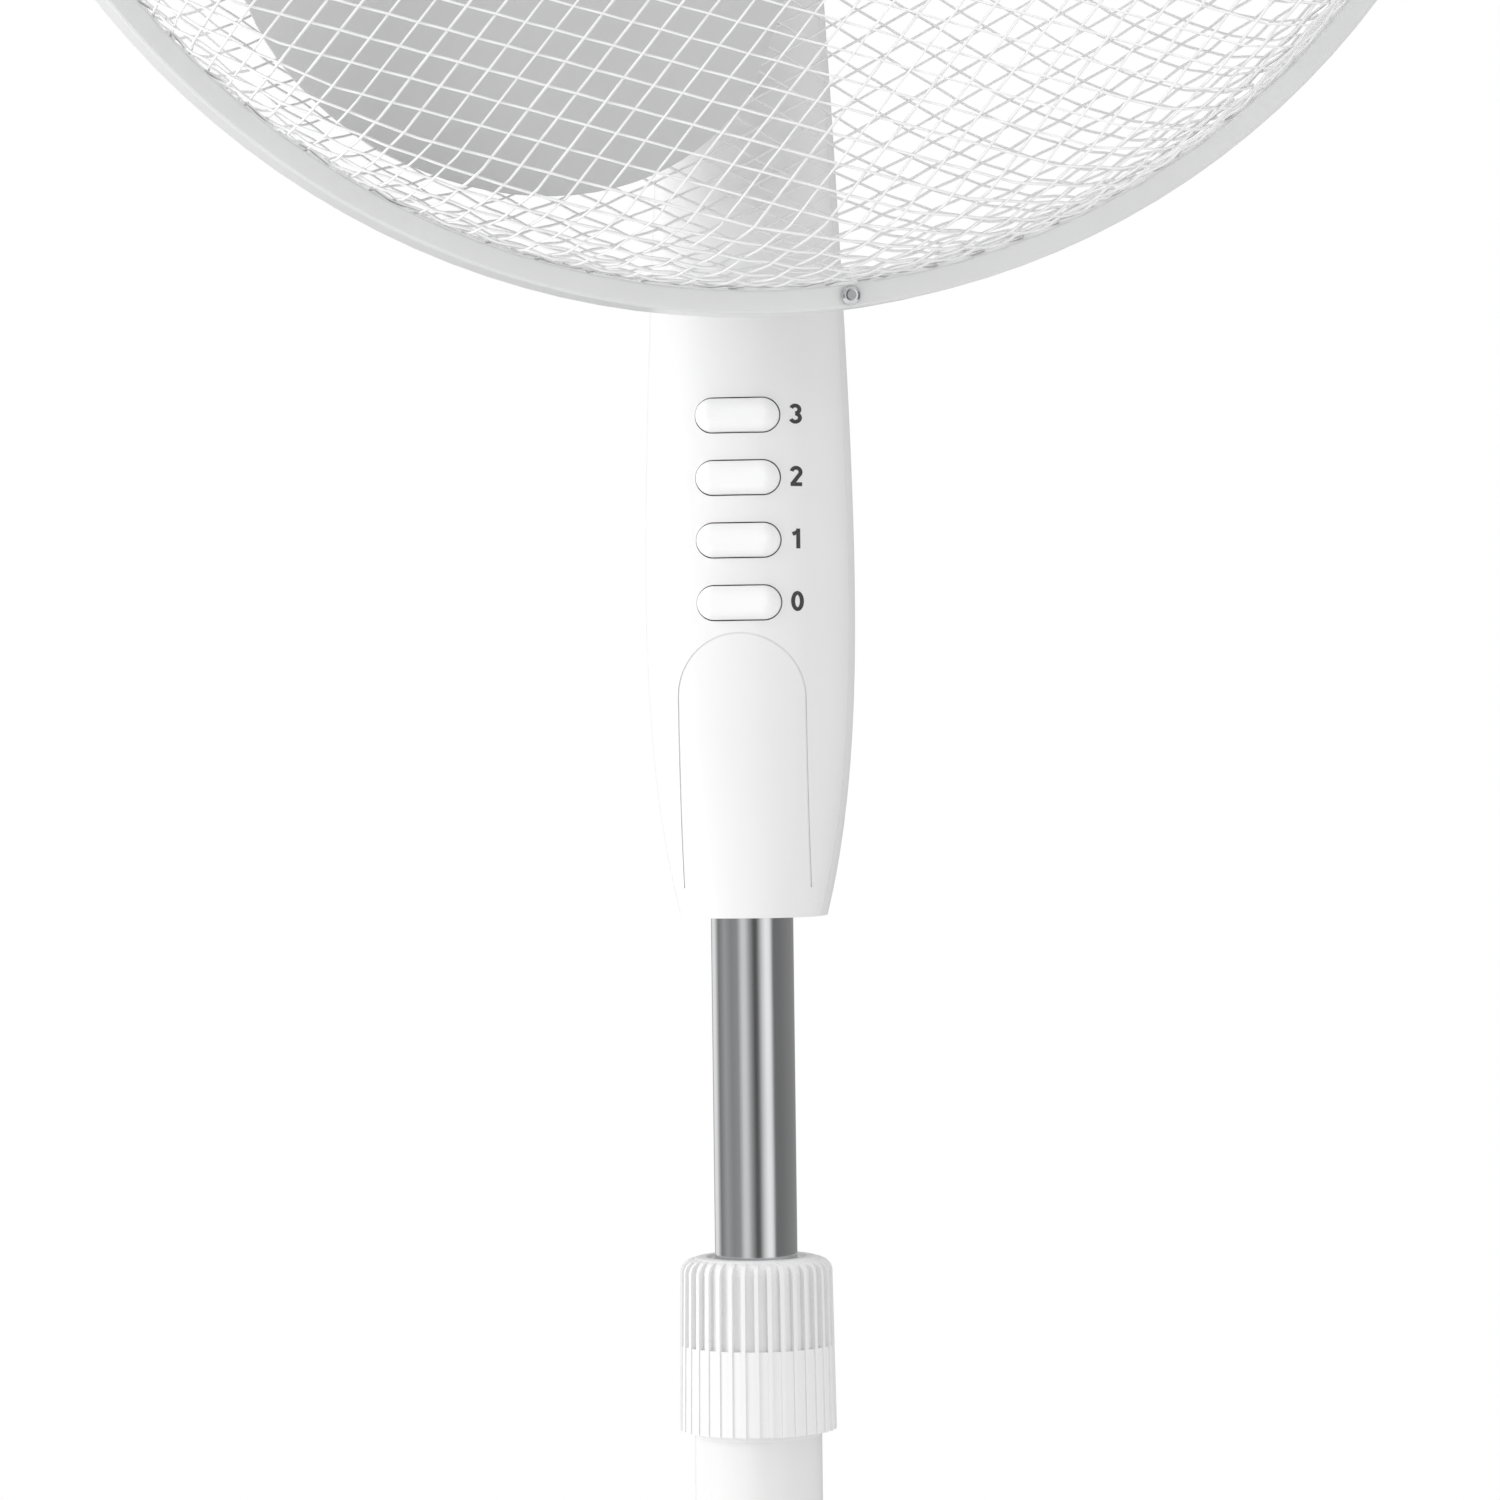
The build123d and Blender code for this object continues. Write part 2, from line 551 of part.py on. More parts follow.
# ---------------------------------------------------------------- neck
NECK_TOP = 29.0
PAN_PIN_RADIUS = 4.0
PAN_BUSH_RADIUS = 6.5
LINK_POST_CIRCLE = 14.0
LINK_POST_RADIUS = 1.8
LINK_LOW = -36.0
LINK_HIGH = -34.4
with BuildPart() as neck_fork:
    for plane in (NECK_SIDE.offset(EAR_INNER), NECK_SIDE.offset(-EAR_OUTER)):
        with BuildSketch(plane):
            Circle(14)
            with Locations((0, 10)):
                Rectangle(28, 20)
            Circle(TILT_BOLT_RADIUS + RUNNING_GAP, mode=Mode.SUBTRACT)
        extrude(amount=EAR_OUTER - EAR_INNER)
    with BuildSketch(NECK.offset(16)):
        RectangleRounded(2 * EAR_OUTER, 29, 4)
    extrude(amount=6)
    with BuildSketch(NECK.offset(22)):
        Circle(19)
    extrude(amount=NECK_TOP - 22)
    with BuildSketch(NECK.offset(16)):
        Circle(PAN_BUSH_RADIUS)
    extrude(amount=NECK_TOP, mode=Mode.SUBTRACT)
    with BuildSketch(NECK.offset(NECK_TOP)):
        with Locations((LINK_POST_CIRCLE, 0)):
            Circle(LINK_POST_RADIUS)
    extrude(amount=SHAFT_ABOVE_TILT + LINK_LOW - 0.4 - NECK_TOP)
finish(neck_fork, "neck_fork")

with BuildPart() as pan_bush:
    with BuildSketch(NECK.offset(16)):
        Circle(PAN_BUSH_RADIUS)
        Circle(PAN_PIN_RADIUS + RUNNING_GAP, mode=Mode.SUBTRACT)
    extrude(amount=NECK_TOP - 16)
finish(pan_bush, "pan_bush")

# ---------------------------------------------------------------- motor
STATOR_FRONT = 12.0
STATOR_BACK = -8.0
BRACKET_BOSS = 6.0
BRACKET_FOOT = NECK_TOP - SHAFT_ABOVE_TILT + 0.4
BRACKET_TOP = -34.0
PIN_CAP = 2.6
with BuildPart() as pan_pin:
    with BuildSketch(PAN.offset(16.5 - SHAFT_ABOVE_TILT)):
        Circle(PAN_PIN_RADIUS)
    extrude(amount=SHAFT_ABOVE_TILT - 16.5 + BRACKET_TOP - PIN_CAP)
finish(pan_pin, "pan_pin")

with BuildPart() as motor_bracket:
    with BuildSketch(PAN.offset(-41)):
        with Locations((-12.5, -2)):
            Rectangle(28, 22)
    extrude(amount=23)
    with BuildSketch(PAN.offset(BRACKET_FOOT)):
        Circle(BRACKET_BOSS)
    extrude(amount=BRACKET_TOP - BRACKET_FOOT)
    with BuildSketch(FAN.offset(-20)):
        Circle(STATOR_RADIUS + 0.05)
    extrude(amount=50, mode=Mode.SUBTRACT)
    with BuildSketch(PAN.offset(BRACKET_FOOT)):
        Circle(PAN_PIN_RADIUS)
    extrude(amount=BRACKET_TOP - BRACKET_FOOT - PIN_CAP, mode=Mode.SUBTRACT)
finish(motor_bracket, "motor_bracket")

with BuildPart() as stator_core:
    with BuildSketch(FAN.offset(STATOR_BACK)):
        Circle(STATOR_RADIUS)
        Circle(21.6, mode=Mode.SUBTRACT)
        with PolarLocations(26.5, 16):
            SlotOverall(8, 3.2, mode=Mode.SUBTRACT)
    extrude(amount=STATOR_FRONT - STATOR_BACK)
finish(stator_core, "stator_core")

with BuildPart() as stator_windings:
    revolve(
        profile(
            FAN_SECTION,
            (23, STATOR_FRONT),
            (33, STATOR_FRONT),
            (32, STATOR_FRONT + 8),
            (29, STATOR_FRONT + 10),
            (25, STATOR_FRONT + 9),
        ),
        axis=FAN_AXIS,
    )
    revolve(
        profile(
            FAN_SECTION,
            (23, STATOR_BACK),
            (25, STATOR_BACK - 9),
            (29, STATOR_BACK - 10),
            (32, STATOR_BACK - 8),
            (33, STATOR_BACK),
        ),
        axis=FAN_AXIS,
    )
finish(stator_windings, "stator_windings")

SHIELD_RADIUS = 37.0
SHIELD_SKIRT = 34.6
BEARING_RADIUS = 8.0
with BuildPart() as front_end_shield:
    revolve(
        profile(
            FAN_SECTION,
            (BEARING_RADIUS, 17),
            (11, 17),
            (11, 23.4),
            (SHIELD_SKIRT, 23.4),
            (SHIELD_SKIRT, STATOR_FRONT),
            (STATOR_RADIUS, STATOR_FRONT),
            (SHIELD_RADIUS, 25.4),
            (BEARING_RADIUS, 25.4),
        ),
        axis=FAN_AXIS,
    )
finish(front_end_shield, "front_end_shield")

with BuildPart() as rear_end_shield:
    revolve(
        profile(
            FAN_SECTION,
            (BEARING_RADIUS, -17),
            (11, -17),
            (11, -21.6),
            (SHIELD_SKIRT, -21.6),
            (SHIELD_SKIRT, STATOR_BACK),
            (STATOR_RADIUS, STATOR_BACK),
            (SHIELD_RADIUS, -23.6),
            (BEARING_RADIUS, -23.6),
        ),
        axis=FAN_AXIS,
    )
finish(rear_end_shield, "rear_end_shield")

with BuildPart() as front_bearing:
    revolve(band(FAN_SECTION, SHAFT_RADIUS + RUNNING_GAP, BEARING_RADIUS, 16, 25.4), axis=FAN_AXIS)
finish(front_bearing, "front_bearing")

with BuildPart() as rear_bearing:
    revolve(band(FAN_SECTION, SHAFT_RADIUS + RUNNING_GAP, BEARING_RADIUS, -23.6, -14), axis=FAN_AXIS)
finish(rear_bearing, "rear_bearing")

# ---------------------------------------------------------------- oscillation gear
WHEEL_ACROSS = 6.8
WHEEL_BACK = 46.0
WHEEL_RADIUS = 12.5
WORM_RADIUS = 5.2
CRANK_THROW = 9.0
CRANK_ANGLE = -23.7
GEAR_TEETH = 28


def gear_plane(height):
    """A level plane through the worm wheel's axis, at a height above the motor shaft."""
    return Plane(origin=PAN.from_local_coords((WHEEL_ACROSS, WHEEL_BACK, height)), x_dir=PAN.x_dir, z_dir=PAN.z_dir)


with BuildPart() as gearbox_case:
    with BuildSketch(PAN.offset(-13)):
        with Locations((1.3, 44)):
            RectangleRounded(42.6, 36, 4)
    extrude(amount=26)
    with BuildSketch(PAN.offset(-10.5)):
        with Locations((1.3, 44)):
            RectangleRounded(37.6, 31, 2)
    extrude(amount=21, mode=Mode.SUBTRACT)
    with BuildSketch(gear_plane(-31)):
        Circle(7)
    extrude(amount=20.5)
    with BuildSketch(gear_plane(-31)):
        Circle(3.5 + RUNNING_GAP)
    extrude(amount=20.5, mode=Mode.SUBTRACT)
    with BuildSketch(gear_plane(0)):
        Circle(3.0 + LOOSE_GAP)
    extrude(amount=20, mode=Mode.SUBTRACT)
    with BuildSketch(FAN.offset(-24)):
        Circle(SHAFT_RADIUS + 0.4)
    extrude(amount=-10, mode=Mode.SUBTRACT)
finish(gearbox_case, "gearbox_case")

with BuildPart() as worm_wheel:
    with BuildSketch(gear_plane(-4)):
        Circle(WHEEL_RADIUS)
        Circle(3.0 + RUNNING_GAP, mode=Mode.SUBTRACT)
        with PolarLocations(WHEEL_RADIUS, GEAR_TEETH):
            Rectangle(2.2, 1.2, mode=Mode.SUBTRACT)
    extrude(amount=8)
finish(worm_wheel, "worm_wheel")

with BuildPart() as clutch_spindle:
    with BuildSketch(gear_plane(-8)):
        Circle(3.0)
    extrude(amount=60)
finish(clutch_spindle, "clutch_spindle")

with BuildPart() as oscillation_knob:
    with BuildSketch(gear_plane(51.0)):
        Circle(8.0)
    extrude(amount=13)
    with BuildSketch(gear_plane(64.0)):
        Circle(9.5)
    extrude(amount=4)
    fillet(oscillation_knob.faces().sort_by(Axis.Z)[-1].edges(), 1.5)
    with BuildSketch(gear_plane(51.0)):
        Circle(3.0)
    extrude(amount=1.0, mode=Mode.SUBTRACT)
finish(oscillation_knob, "oscillation_knob")

CRANK_PIN = (
    CRANK_THROW * math.cos(math.radians(CRANK_ANGLE)),
    CRANK_THROW * math.sin(math.radians(CRANK_ANGLE)),
)
with BuildPart() as crank:
    with BuildSketch(gear_plane(-33)):
        Circle(3.5)
    extrude(amount=21.5)
    with BuildSketch(gear_plane(LINK_HIGH + 0.2)):
        Circle(12)
    extrude(amount=2.6)
    with BuildSketch(gear_plane(LINK_LOW - 0.4)):
        with Locations(CRANK_PIN):
            Circle(1.6)
    extrude(amount=LINK_HIGH - LINK_LOW + 1.0)
finish(crank, "crank")

POST_IN_HEAD = (
    LINK_POST_CIRCLE * math.cos(math.radians(HEAD_PAN)),
    -LINK_POST_CIRCLE * math.sin(math.radians(HEAD_PAN)),
)
PIN_IN_HEAD = (WHEEL_ACROSS + CRANK_PIN[0], WHEEL_BACK + CRANK_PIN[1])
LINK_HALF = 1.6
with BuildPart() as link_rod:
    with BuildSketch(PAN.offset(LINK_LOW)):
        with Locations(POST_IN_HEAD, PIN_IN_HEAD):
            Circle(2.9)
        with BuildLine():
            Polyline(
                (POST_IN_HEAD[0] - LINK_HALF, POST_IN_HEAD[1]),
                (POST_IN_HEAD[0] + LINK_HALF, POST_IN_HEAD[1]),
                (PIN_IN_HEAD[0] + LINK_HALF, PIN_IN_HEAD[1]),
                (PIN_IN_HEAD[0] - LINK_HALF, PIN_IN_HEAD[1]),
                close=True,
            )
        make_face()
        with Locations(POST_IN_HEAD):
            Circle(2.0, mode=Mode.SUBTRACT)
        with Locations(PIN_IN_HEAD):
            Circle(1.6 + RUNNING_GAP, mode=Mode.SUBTRACT)
    extrude(amount=LINK_HIGH - LINK_LOW)
finish(link_rod, "link_rod")

# ---------------------------------------------------------------- motor covers
COVER_SPLIT = -22.0
NECK_OPENING = 25.0
BOSS_RADIUS = 17.0
with BuildPart() as motor_cover_front:
    with BuildSketch(FAN_SECTION):
        with BuildLine():
            Polyline(
                (COVER_RADIUS - COVER_WALL, COVER_SPLIT),
                (COVER_RADIUS, COVER_SPLIT),
                (COVER_RADIUS, 14),
            )
            ThreePointArc((COVER_RADIUS, 14), (COVER_RADIUS - 4.1, 23.9), (COVER_RADIUS - 14, 28))
            Polyline(
                (COVER_RADIUS - 14, 28),
                (BOSS_RADIUS, 28),
                (BOSS_RADIUS, 40),
                (BEARING_RADIUS, 40),
                (BEARING_RADIUS, 26),
                (COVER_RADIUS - 14, 26),
            )
            ThreePointArc((COVER_RADIUS - 14, 26), (COVER_RADIUS - 5.5, 22.5), (COVER_RADIUS - COVER_WALL, 14))
            Line((COVER_RADIUS - COVER_WALL, 14), (COVER_RADIUS - COVER_WALL, COVER_SPLIT))
        make_face()
    revolve(axis=FAN_AXIS)
    with BuildSketch(PAN.offset(-60)):
        Circle(NECK_OPENING)
    extrude(amount=32, mode=Mode.SUBTRACT)
finish(motor_cover_front, "motor_cover_front")

COVER_BACK = -84.0
COVER_STRAIGHT = -50.0
with BuildPart() as motor_cover_rear:
    with BuildSketch(FAN_SECTION):
        with BuildLine():
            Line((COVER_RADIUS - COVER_WALL, COVER_SPLIT - 0.3), (COVER_RADIUS, COVER_SPLIT - 0.3))
            Line((COVER_RADIUS, COVER_SPLIT - 0.3), (COVER_RADIUS, COVER_STRAIGHT))
            Spline(
                (COVER_RADIUS, COVER_STRAIGHT),
                (37, COVER_BACK + 9),
                (0, COVER_BACK),
                tangents=((0, -1), (-1, 0)),
            )
            Line((0, COVER_BACK), (0, COVER_BACK + COVER_WALL))
            Spline(
                (0, COVER_BACK + COVER_WALL),
                (36, COVER_BACK + 10.6),
                (COVER_RADIUS - COVER_WALL, COVER_STRAIGHT),
                tangents=((1, 0), (0, 1)),
            )
            Line(
                (COVER_RADIUS - COVER_WALL, COVER_STRAIGHT),
                (COVER_RADIUS - COVER_WALL, COVER_SPLIT - 0.3),
            )
        make_face()
    revolve(axis=FAN_AXIS)
    with BuildSketch(PAN.offset(-60)):
        Circle(NECK_OPENING)
    extrude(amount=32, mode=Mode.SUBTRACT)
    with BuildSketch(gear_plane(30)):
        Circle(3.0 + 0.6)
    extrude(amount=40, mode=Mode.SUBTRACT)
    with BuildSketch(FAN.offset(COVER_BACK - 1)):
        Circle(1.7)
    extrude(amount=6, mode=Mode.SUBTRACT)
finish(motor_cover_rear, "motor_cover_rear")

with BuildPart() as cover_screw:
    with BuildSketch(FAN.offset(COVER_BACK - 2.2)):
        Circle(3.4)
    extrude(amount=2.2)
    with BuildSketch(FAN.offset(COVER_BACK)):
        Circle(1.6)
    extrude(amount=-COVER_BACK - 62)
finish(cover_screw, "cover_screw")

# ---------------------------------------------------------------- rotor and blade
HUB_RADIUS = 34.0
HUB_BACK = 44.0
HUB_FRONT = 76.0
DRIVE_PIN_PLANE = Plane(origin=FAN.offset(HUB_BACK - 2.2).origin, x_dir=FAN.z_dir, z_dir=FAN.x_dir)
DRIVE_PIN_RADIUS = 1.5
with BuildPart() as motor_shaft:
    with BuildSketch(FAN.offset(-59)):
        Circle(SHAFT_RADIUS)
    extrude(amount=59 + 90)
    with BuildSketch(DRIVE_PIN_PLANE):
        Circle(DRIVE_PIN_RADIUS)
    extrude(amount=9, both=True, mode=Mode.SUBTRACT)
finish(motor_shaft, "motor_shaft")

with BuildPart() as rotor_core:
    revolve(band(FAN_SECTION, SHAFT_RADIUS, 21.0, STATOR_BACK, STATOR_FRONT), axis=FAN_AXIS)
finish(rotor_core, "rotor_core")

with BuildPart() as worm:
    thread_pitch = 2.6
    thread = []
    for turn in range(7):
        start = -(WHEEL_BACK + 3.5 * thread_pitch) + turn * thread_pitch
        thread += [(WORM_RADIUS, start), (WORM_RADIUS, start + 1.3), (WORM_RADIUS - 0.8, start + 1.6)]
        thread += [(WORM_RADIUS - 0.8, start + 2.4)]
    revolve(
        profile(FAN_SECTION, *thread, (SHAFT_RADIUS, thread[-1][1]), (SHAFT_RADIUS, thread[0][1])),
        axis=FAN_AXIS,
    )
finish(worm, "worm")

BLADE_MIDDLE = 60.0
BLADE_THICK = 2.2
PETAL_HALF = 68.5
PETAL_WIDEST = 130.5
BLADE_STATIONS = ((22.0, 36.0), (75.0, 27.0), (130.0, 20.0), (192.0, 16.0))


def blade_strip(distance, pitch):
    """The blade's cambered section, square to its middle line, at a distance from the shaft."""
    turn = math.radians(BLADE_ANGLE)
    outward = FAN.x_dir * math.cos(turn) + FAN.y_dir * math.sin(turn)
    middle = FAN_ORIGIN + FAN.z_dir * BLADE_MIDDLE + outward * distance
    station = Plane(origin=middle, x_dir=FAN.z_dir.cross(outward), z_dir=outward).moved(Rotation(0, 0, pitch))
    half, camber = PETAL_HALF + 14, 7.0
    with BuildSketch(station) as strip:
        with BuildLine():
            ThreePointArc((-half, 0), (0, camber), (half, 0))
            Line((half, 0), (half, -BLADE_THICK))
            ThreePointArc((half, -BLADE_THICK), (0, camber - BLADE_THICK), (-half, -BLADE_THICK))
            Line((-half, -BLADE_THICK), (-half, 0))
        make_face()
    return strip.sketch


with BuildPart() as one_blade:
    loft([blade_strip(distance, pitch) for distance, pitch in BLADE_STATIONS])
    with BuildSketch(FAN.moved(Rotation(0, 0, BLADE_ANGLE - 90))) as petal:
        with BuildLine():
            EllipticalCenterArc((0, PETAL_WIDEST), PETAL_HALF, BLADE_TIP - PETAL_WIDEST, 0, arc_size=180)
            ThreePointArc((-PETAL_HALF, PETAL_WIDEST), (-54, 72), (-20, 24))
            Line((-20, 24), (20, 24))
            ThreePointArc((20, 24), (54, 72), (PETAL_HALF, PETAL_WIDEST))
        make_face()
    extrude(amount=140, mode=Mode.INTERSECT)

with BuildPart() as fan_blade:
    for number in range(BLADES):
        add(one_blade.part.rotate(FAN_AXIS, 360 * number / BLADES))
    with BuildSketch(FAN.offset(HUB_BACK)):
        Circle(HUB_RADIUS)
    extrude(amount=HUB_FRONT - HUB_BACK)
    with BuildSketch(FAN.offset(HUB_BACK)):
        Circle(HUB_RADIUS - 2.4)
        Circle(9, mode=Mode.SUBTRACT)
    extrude(amount=HUB_FRONT - HUB_BACK - 3, mode=Mode.SUBTRACT)
    with BuildSketch(FAN.offset(HUB_BACK - 1)):
        Circle(SHAFT_RADIUS)
    extrude(amount=60, mode=Mode.SUBTRACT)
finish(fan_blade, "fan_blade")

with BuildPart() as drive_pin:
    with BuildSketch(DRIVE_PIN_PLANE):
        Circle(DRIVE_PIN_RADIUS)
    extrude(amount=9, both=True)
finish(drive_pin, "drive_pin")

with BuildPart() as spinner_nut:
    with BuildSketch(FAN.offset(HUB_FRONT)):
        Circle(15)
        with PolarLocations(16.5, 12):
            Circle(2.2, mode=Mode.SUBTRACT)
    extrude(amount=11)
    with BuildSketch(FAN.offset(HUB_FRONT + 11)):
        Circle(12)
    extrude(amount=6, taper=20)
    with BuildSketch(FAN.offset(HUB_FRONT)):
        Circle(SHAFT_RADIUS)
    extrude(amount=14, mode=Mode.SUBTRACT)
finish(spinner_nut, "spinner_nut")

# ---------------------------------------------------------------- guard
FRONT_HOOP_AT = RING_FRONT - 6.0
REAR_HOOP_AT = RING_FRONT - 14.5
HOOP_WIRE = 2.0
GUARD_EDGE = HOOP_RADIUS - HOOP_WIRE
FRONT_FLAT = 176.5
REAR_FLAT = 164.0
BADGE_RADIUS = 42.0
PLATE_RADIUS = 52.0


def guard_dish(flat, edge, crown, rim, hole):
    """The section of a pressed mesh dish: flat in the middle, an elliptical flank and an edge along the axis."""
    inward = math.copysign(GUARD_SKIN, rim - crown)
    with BuildSketch(FAN_SECTION) as section:
        with BuildLine():
            Line((hole, crown), (flat, crown))
            flank = [math.radians(angle) for angle in range(0, 91, 15)]
            outer = [(flat + (edge - flat) * math.sin(u), rim + (crown - rim) * math.cos(u)) for u in flank]
            inner_edge = edge - GUARD_SKIN
            inner_crown = crown + inward
            inner = [
                (flat + (inner_edge - flat) * math.sin(u), rim + (inner_crown - rim) * math.cos(u)) for u in flank
            ]
            Spline(*outer, tangents=((1, 0), (0, rim - crown)))
            Line(outer[-1], inner[-1])
            Spline(*reversed(inner), tangents=((0, crown - rim), (-1, 0)))
            Line(inner[0], (hole, inner_crown))
            Line((hole, inner_crown), (hole, crown))
        make_face()
    return section.sketch


with BuildPart() as front_guard_mesh:
    revolve(guard_dish(FRONT_FLAT, GUARD_EDGE, GUARD_FRONT, FRONT_HOOP_AT, 20), axis=FAN_AXIS)
finish(front_guard_mesh, "front_guard_mesh")

with BuildPart() as rear_guard_mesh:
    revolve(guard_dish(REAR_FLAT, GUARD_EDGE, GUARD_REAR, REAR_HOOP_AT, 40), axis=FAN_AXIS)
finish(rear_guard_mesh, "rear_guard_mesh")


def guard_hoop(forward):
    """A round wire hoop about the shaft's axis."""
    with BuildPart() as hoop:
        with BuildSketch(FAN_SECTION):
            with Locations((HOOP_RADIUS, forward)):
                Circle(HOOP_WIRE)
        revolve(axis=FAN_AXIS)
    return hoop


front_guard_hoop = guard_hoop(FRONT_HOOP_AT)
finish(front_guard_hoop, "front_guard_hoop")
rear_guard_hoop = guard_hoop(REAR_HOOP_AT)
finish(rear_guard_hoop, "rear_guard_hoop")

with BuildPart() as guard_badge:
    revolve(
        profile(
            FAN_SECTION,
            (0, GUARD_FRONT + 0.1),
            (BADGE_RADIUS, GUARD_FRONT + 0.1),
            (BADGE_RADIUS, GUARD_FRONT + 2),
            (BADGE_RADIUS - 3, GUARD_FRONT + 4),
            (0, GUARD_FRONT + 5),
        ),
        axis=FAN_AXIS,
    )
finish(guard_badge, "guard_badge")

with BuildPart() as rear_guard_plate:
    revolve(band(FAN_SECTION, BOSS_RADIUS + 0.2, PLATE_RADIUS, GUARD_REAR + 0.8, GUARD_REAR + 3.2), axis=FAN_AXIS)
finish(rear_guard_plate, "rear_guard_plate")

with BuildPart() as guard_nut:
    with BuildSketch(FAN.offset(GUARD_REAR + 3.3)):
        Circle(25)
        with PolarLocations(26.5, 20):
            Circle(2.6, mode=Mode.SUBTRACT)
        Circle(BOSS_RADIUS + 0.05, mode=Mode.SUBTRACT)
    extrude(amount=6)
finish(guard_nut, "guard_nut")

RING_REAR = RING_FRONT - RING_DEPTH
RING_WALL = 1.4
SCREW_TURN = math.radians(6.35)
SCREW_HEAD_RADIUS = 2.55
SCREW_HEAD_HEIGHT = 2.1
SCREW_CIRCLE = RING_RADIUS - 3.2
SCREW_AT = (SCREW_CIRCLE * math.sin(SCREW_TURN), -SCREW_CIRCLE * math.cos(SCREW_TURN))
with BuildPart() as rim_ring:
    revolve(
        profile(
            FAN_SECTION,
            (RING_RADIUS - RING_FACE, RING_FRONT - 0.4),
            (RING_RADIUS - RING_FACE + 0.4, RING_FRONT),
            (RING_RADIUS - 0.8, RING_FRONT),
            (RING_RADIUS - 0.2, RING_FRONT - 0.25),
            (RING_RADIUS, RING_FRONT - 0.9),
            (RING_RADIUS + 0.4, RING_REAR),
            (RING_RADIUS - 3.4, RING_REAR),
            (RING_RADIUS - 3.4, RING_REAR + RING_WALL),
            (RING_RADIUS - 1.0, RING_REAR + RING_WALL),
            (RING_RADIUS - 1.4, RING_FRONT - RING_WALL),
            (RING_RADIUS - RING_FACE, RING_FRONT - RING_WALL),
        ),
        axis=FAN_AXIS,
    )
    with BuildSketch(FAN.offset(RING_FRONT + 1)):
        with Locations(SCREW_AT):
            Circle(1.6)
    extrude(amount=-4, mode=Mode.SUBTRACT)
finish(rim_ring, "rim_ring")

with BuildPart() as rim_screw:
    with BuildSketch(FAN.offset(RING_FRONT)):
        with Locations(SCREW_AT):
            Circle(SCREW_HEAD_RADIUS)
    extrude(amount=SCREW_HEAD_HEIGHT)
    fillet(rim_screw.faces().sort_by(FAN_AXIS)[-1].edges(), 1.4)
    with BuildSketch(FAN.offset(RING_FRONT)):
        with Locations(SCREW_AT):
            Circle(1.5)
    extrude(amount=-3.6)
    with BuildSketch(FAN.offset(RING_FRONT + SCREW_HEAD_HEIGHT - 1.1)):
        with Locations(SCREW_AT):
            Rectangle(2.9, 0.7, rotation=20)
            Rectangle(0.7, 2.9, rotation=20)
    extrude(amount=3, mode=Mode.SUBTRACT)
finish(rim_screw, "rim_screw")
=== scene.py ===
# %% [markdown]
# A pedestal fan on its stand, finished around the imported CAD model. The shapes of the column, the pole, the
# blade and the base come from the frame and are only given their finishes. What Blender adds is the woven
# wire of the guard, the printed speed numbers and the studio.

# %% Load the frame
import json
import math

import bmesh
import bpy
from mathutils import Matrix, Vector


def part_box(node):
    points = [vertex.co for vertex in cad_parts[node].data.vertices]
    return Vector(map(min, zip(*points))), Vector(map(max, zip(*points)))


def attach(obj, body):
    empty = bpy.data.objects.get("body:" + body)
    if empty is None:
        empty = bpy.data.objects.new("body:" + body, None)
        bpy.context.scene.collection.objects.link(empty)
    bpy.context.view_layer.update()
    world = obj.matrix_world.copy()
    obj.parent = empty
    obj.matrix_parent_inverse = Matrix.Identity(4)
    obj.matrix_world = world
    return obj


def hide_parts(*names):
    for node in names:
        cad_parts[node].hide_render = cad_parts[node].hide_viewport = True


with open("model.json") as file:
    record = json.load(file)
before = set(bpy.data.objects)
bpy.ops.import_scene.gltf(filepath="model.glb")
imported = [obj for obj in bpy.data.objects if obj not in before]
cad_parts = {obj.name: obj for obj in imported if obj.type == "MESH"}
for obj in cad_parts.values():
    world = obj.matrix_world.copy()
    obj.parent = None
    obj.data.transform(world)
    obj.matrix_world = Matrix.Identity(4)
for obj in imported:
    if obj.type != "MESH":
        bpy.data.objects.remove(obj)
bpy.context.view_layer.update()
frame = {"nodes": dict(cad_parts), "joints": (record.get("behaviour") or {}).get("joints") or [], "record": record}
nodes = frame["nodes"]
joints = {joint["name"]: joint for joint in frame["joints"]}
slot_of = {part["node"]: part["material_slot"] for part in frame["record"]["subparts"]}
MM = 0.001

# %% [markdown]
# The camera comes first, because the framing decides how much detail each piece needs. It stands level with
# the control column, a little to its +X side, with a long lens so that the uprights stay almost parallel. The
# whole picture leans by under a degree, as a hand-placed camera does.

# %% Camera
CAMERA_DISTANCE = 1.38667
CAMERA_HEIGHT = 0.6463
CAMERA_SIDE = math.radians(5.5)
CAMERA_DIP = math.radians(0.08)
CAMERA_ROLL = math.radians(-0.72)
CAMERA_LENS = 124.8


